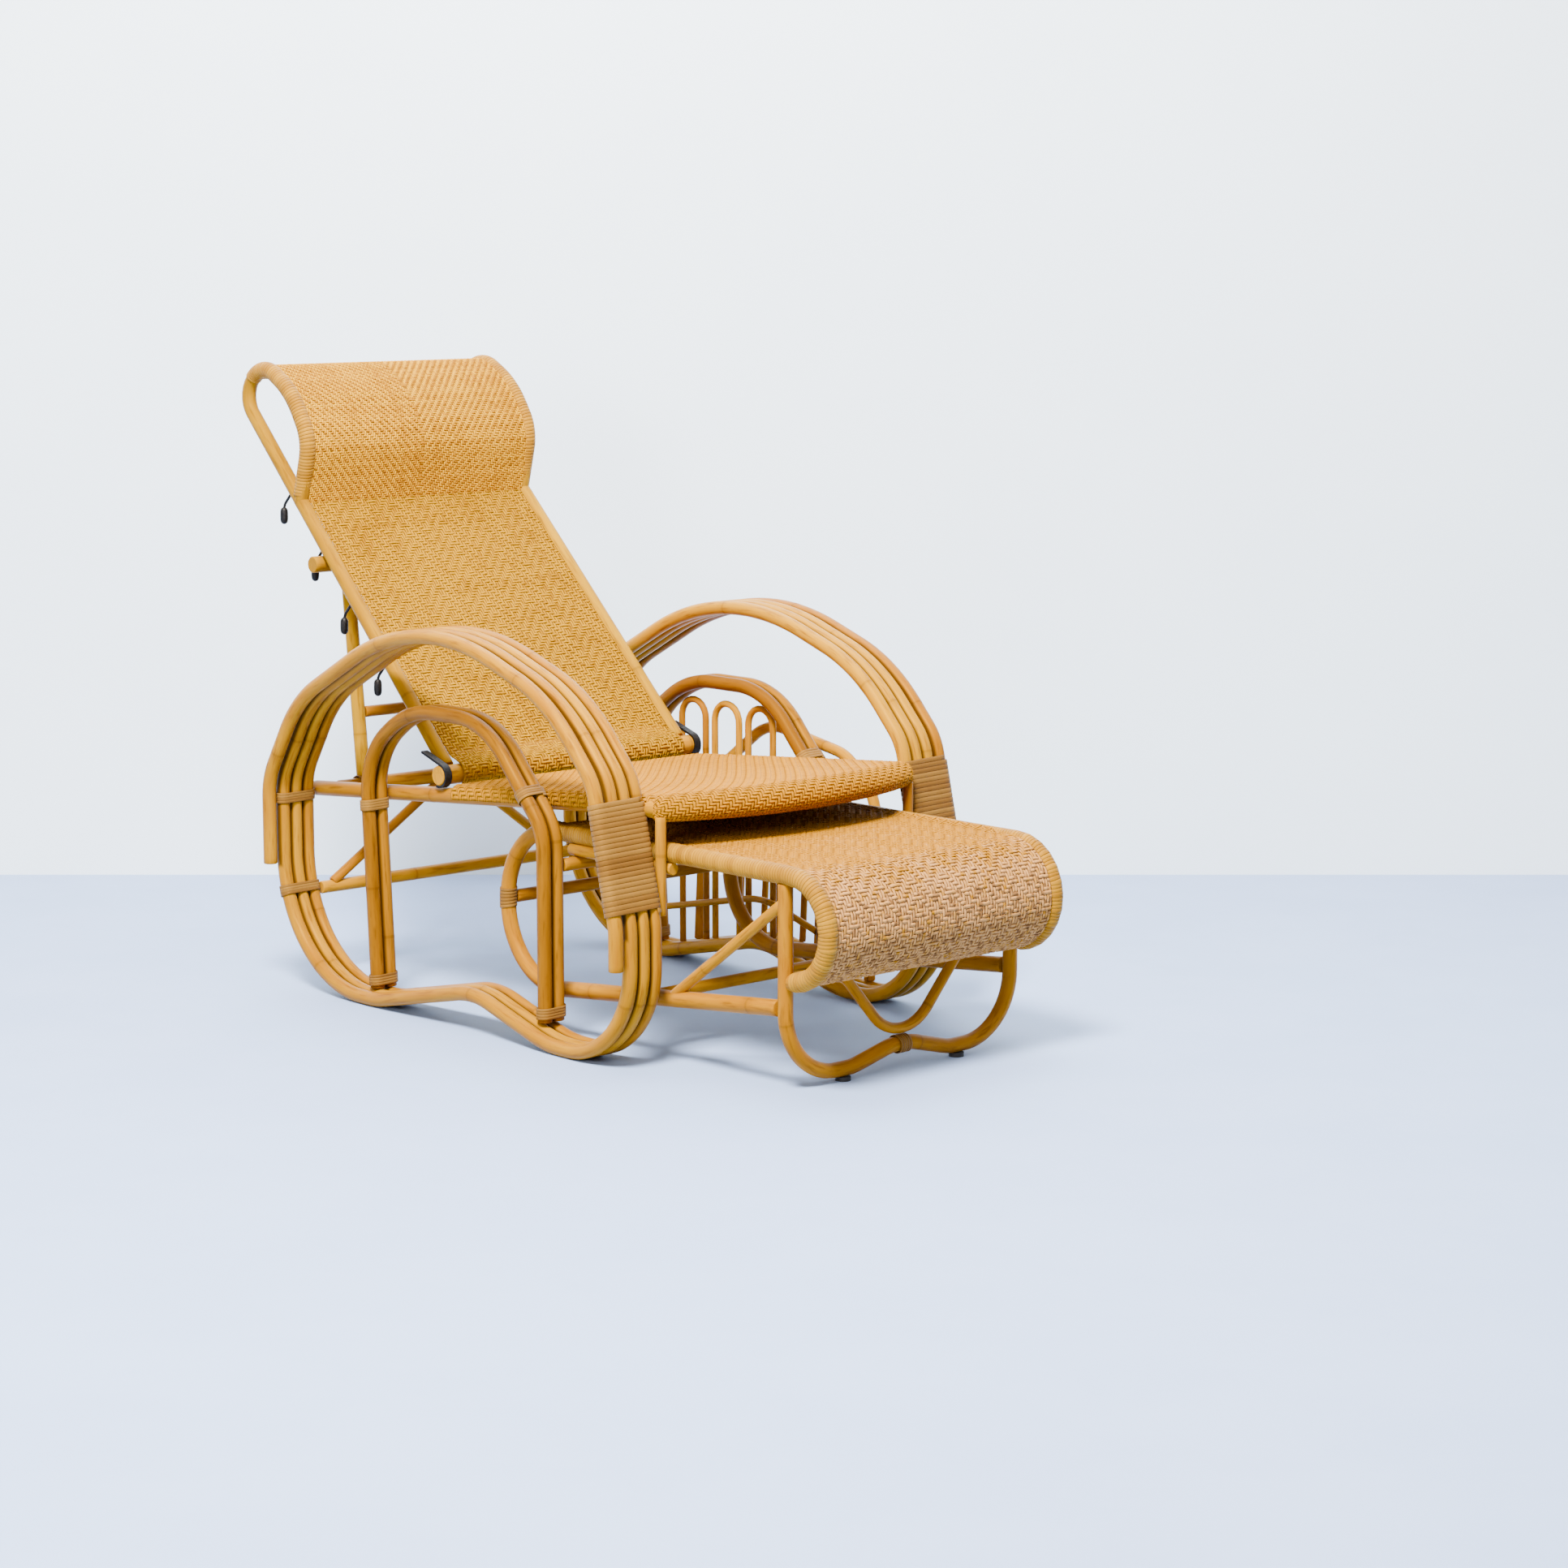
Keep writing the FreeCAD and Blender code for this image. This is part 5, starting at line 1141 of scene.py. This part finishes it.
panel = weave(
    "seat_weave_strands", seat_surface, columns=104, rows=108, over=twill(NO_TURN, NO_TURN),
    lift=0.65, crown=0.55,
)
dress(panel, "frame", "seat_weave", (SEAT_LOOK,), "seat_panel")
panel = weave(
    "footrest_weave_strands", foot_surface, columns=80, rows=132, over=twill(6, NO_TURN),
    lift=1.0, crown=0.9, speckle=roll_speckle,
)
dress(panel, "footrest", "footrest_weave", (FOOT_LOOK,), "footrest_panel")

# Hinge straps and glides keep their solids

for node, look in (
    ("right_hinge_strap", IRON_LOOK), ("left_hinge_strap", IRON_LOOK), ("footrest_glides", GLIDE_LOOK),
):
    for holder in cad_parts[node].material_slots:
        holder.material = look

# Floor, light and camera

STAGE = 16.0
TURN = math.radians(-42.34)
AIR_LIGHT = 0.12
AIR_SEEN = 1.6


def one_sided(material):
    """Same stuff, clear from behind, so that the back of the chair can be seen through the backdrop."""
    tree = material.node_tree
    output = next(node for node in tree.nodes if node.type == "OUTPUT_MATERIAL")
    front = output.inputs["Surface"].links[0].from_socket
    behind = add(tree, "ShaderNodeNewGeometry")["Backfacing"]
    clear = add(tree, "ShaderNodeBsdfTransparent")[0]
    both = add(tree, "ShaderNodeMixShader", {0: behind, 1: front, 2: clear})[0]
    tree.links.new(both, output.inputs["Surface"])
    return material


def lamp(name, place, target, size, power):
    """Square soft box."""
    data = bpy.data.lights.new(name, "AREA")
    data.shape = "SQUARE"
    data.size = size
    data.energy = power
    light = shown(bpy.data.objects.new(name, data))
    light.location = place
    light.rotation_euler = (Vector(target) - Vector(place)).to_track_quat("-Z", "Y").to_euler()


bpy.ops.mesh.primitive_plane_add(size=STAGE, location=(0.0, 0.0, 0.0))
floor = bpy.context.object
floor.name = "studio_floor"
stuff = plain_look("studio_floor", "#9AAED2", "#97ABCF", grit=333.0, smooth=0.6, matt=0.75, bump=0.0)
floor.data.materials.append(stuff)
upright = (math.radians(90), 0, TURN)
bpy.ops.mesh.primitive_plane_add(size=STAGE, location=(0.93, 0.65, 7.9), rotation=upright)
wall = bpy.context.object
wall.name = "studio_wall"
stuff = plain_look("studio_wall", "#EDF6F9", "#EAF3F7", grit=500.0, smooth=0.8, matt=0.9, bump=0.0)
wall.data.materials.append(one_sided(stuff))

lamp("key_box", (-2.2, -1.6, 4.0), target=(0, 0, 0.5), size=1.2, power=1000.0)
lamp("side_box", (-4.0, -1.6, 1.7), target=(0, 0, 0.3), size=1.2, power=110.0)
lamp("fill_box", (2.4, -3.6, 2.4), target=(0, 0, 0.4), size=2.4, power=40.0)
lamp("wall_box", (0.1, 0.2, 3.6), target=(1.2, 0.9, 1.2), size=1.6, power=150.0)
world = bpy.data.worlds.new("studio_air")
world.use_nodes = True
air = world.node_tree.nodes["Background"]
air.inputs["Color"].default_value = colour("#EDF2F8")
seen = add(world.node_tree, "ShaderNodeLightPath")["Is Camera Ray"]
glow = add(world.node_tree, "ShaderNodeMapRange", {0: seen, 3: AIR_LIGHT, 4: AIR_SEEN})[0]
world.node_tree.links.new(glow, air.inputs["Strength"])
bpy.context.scene.world = world

view = bpy.data.cameras.new("photo_camera")
view.lens = 84.01
view.sensor_width = 36.0
camera = shown(bpy.data.objects.new("photo_camera", view))
camera.location = (-3.5413, -4.2357, 1.1934)
camera.rotation_euler = (math.radians(81.206), 0.0, TURN)
bpy.context.scene.camera = camera
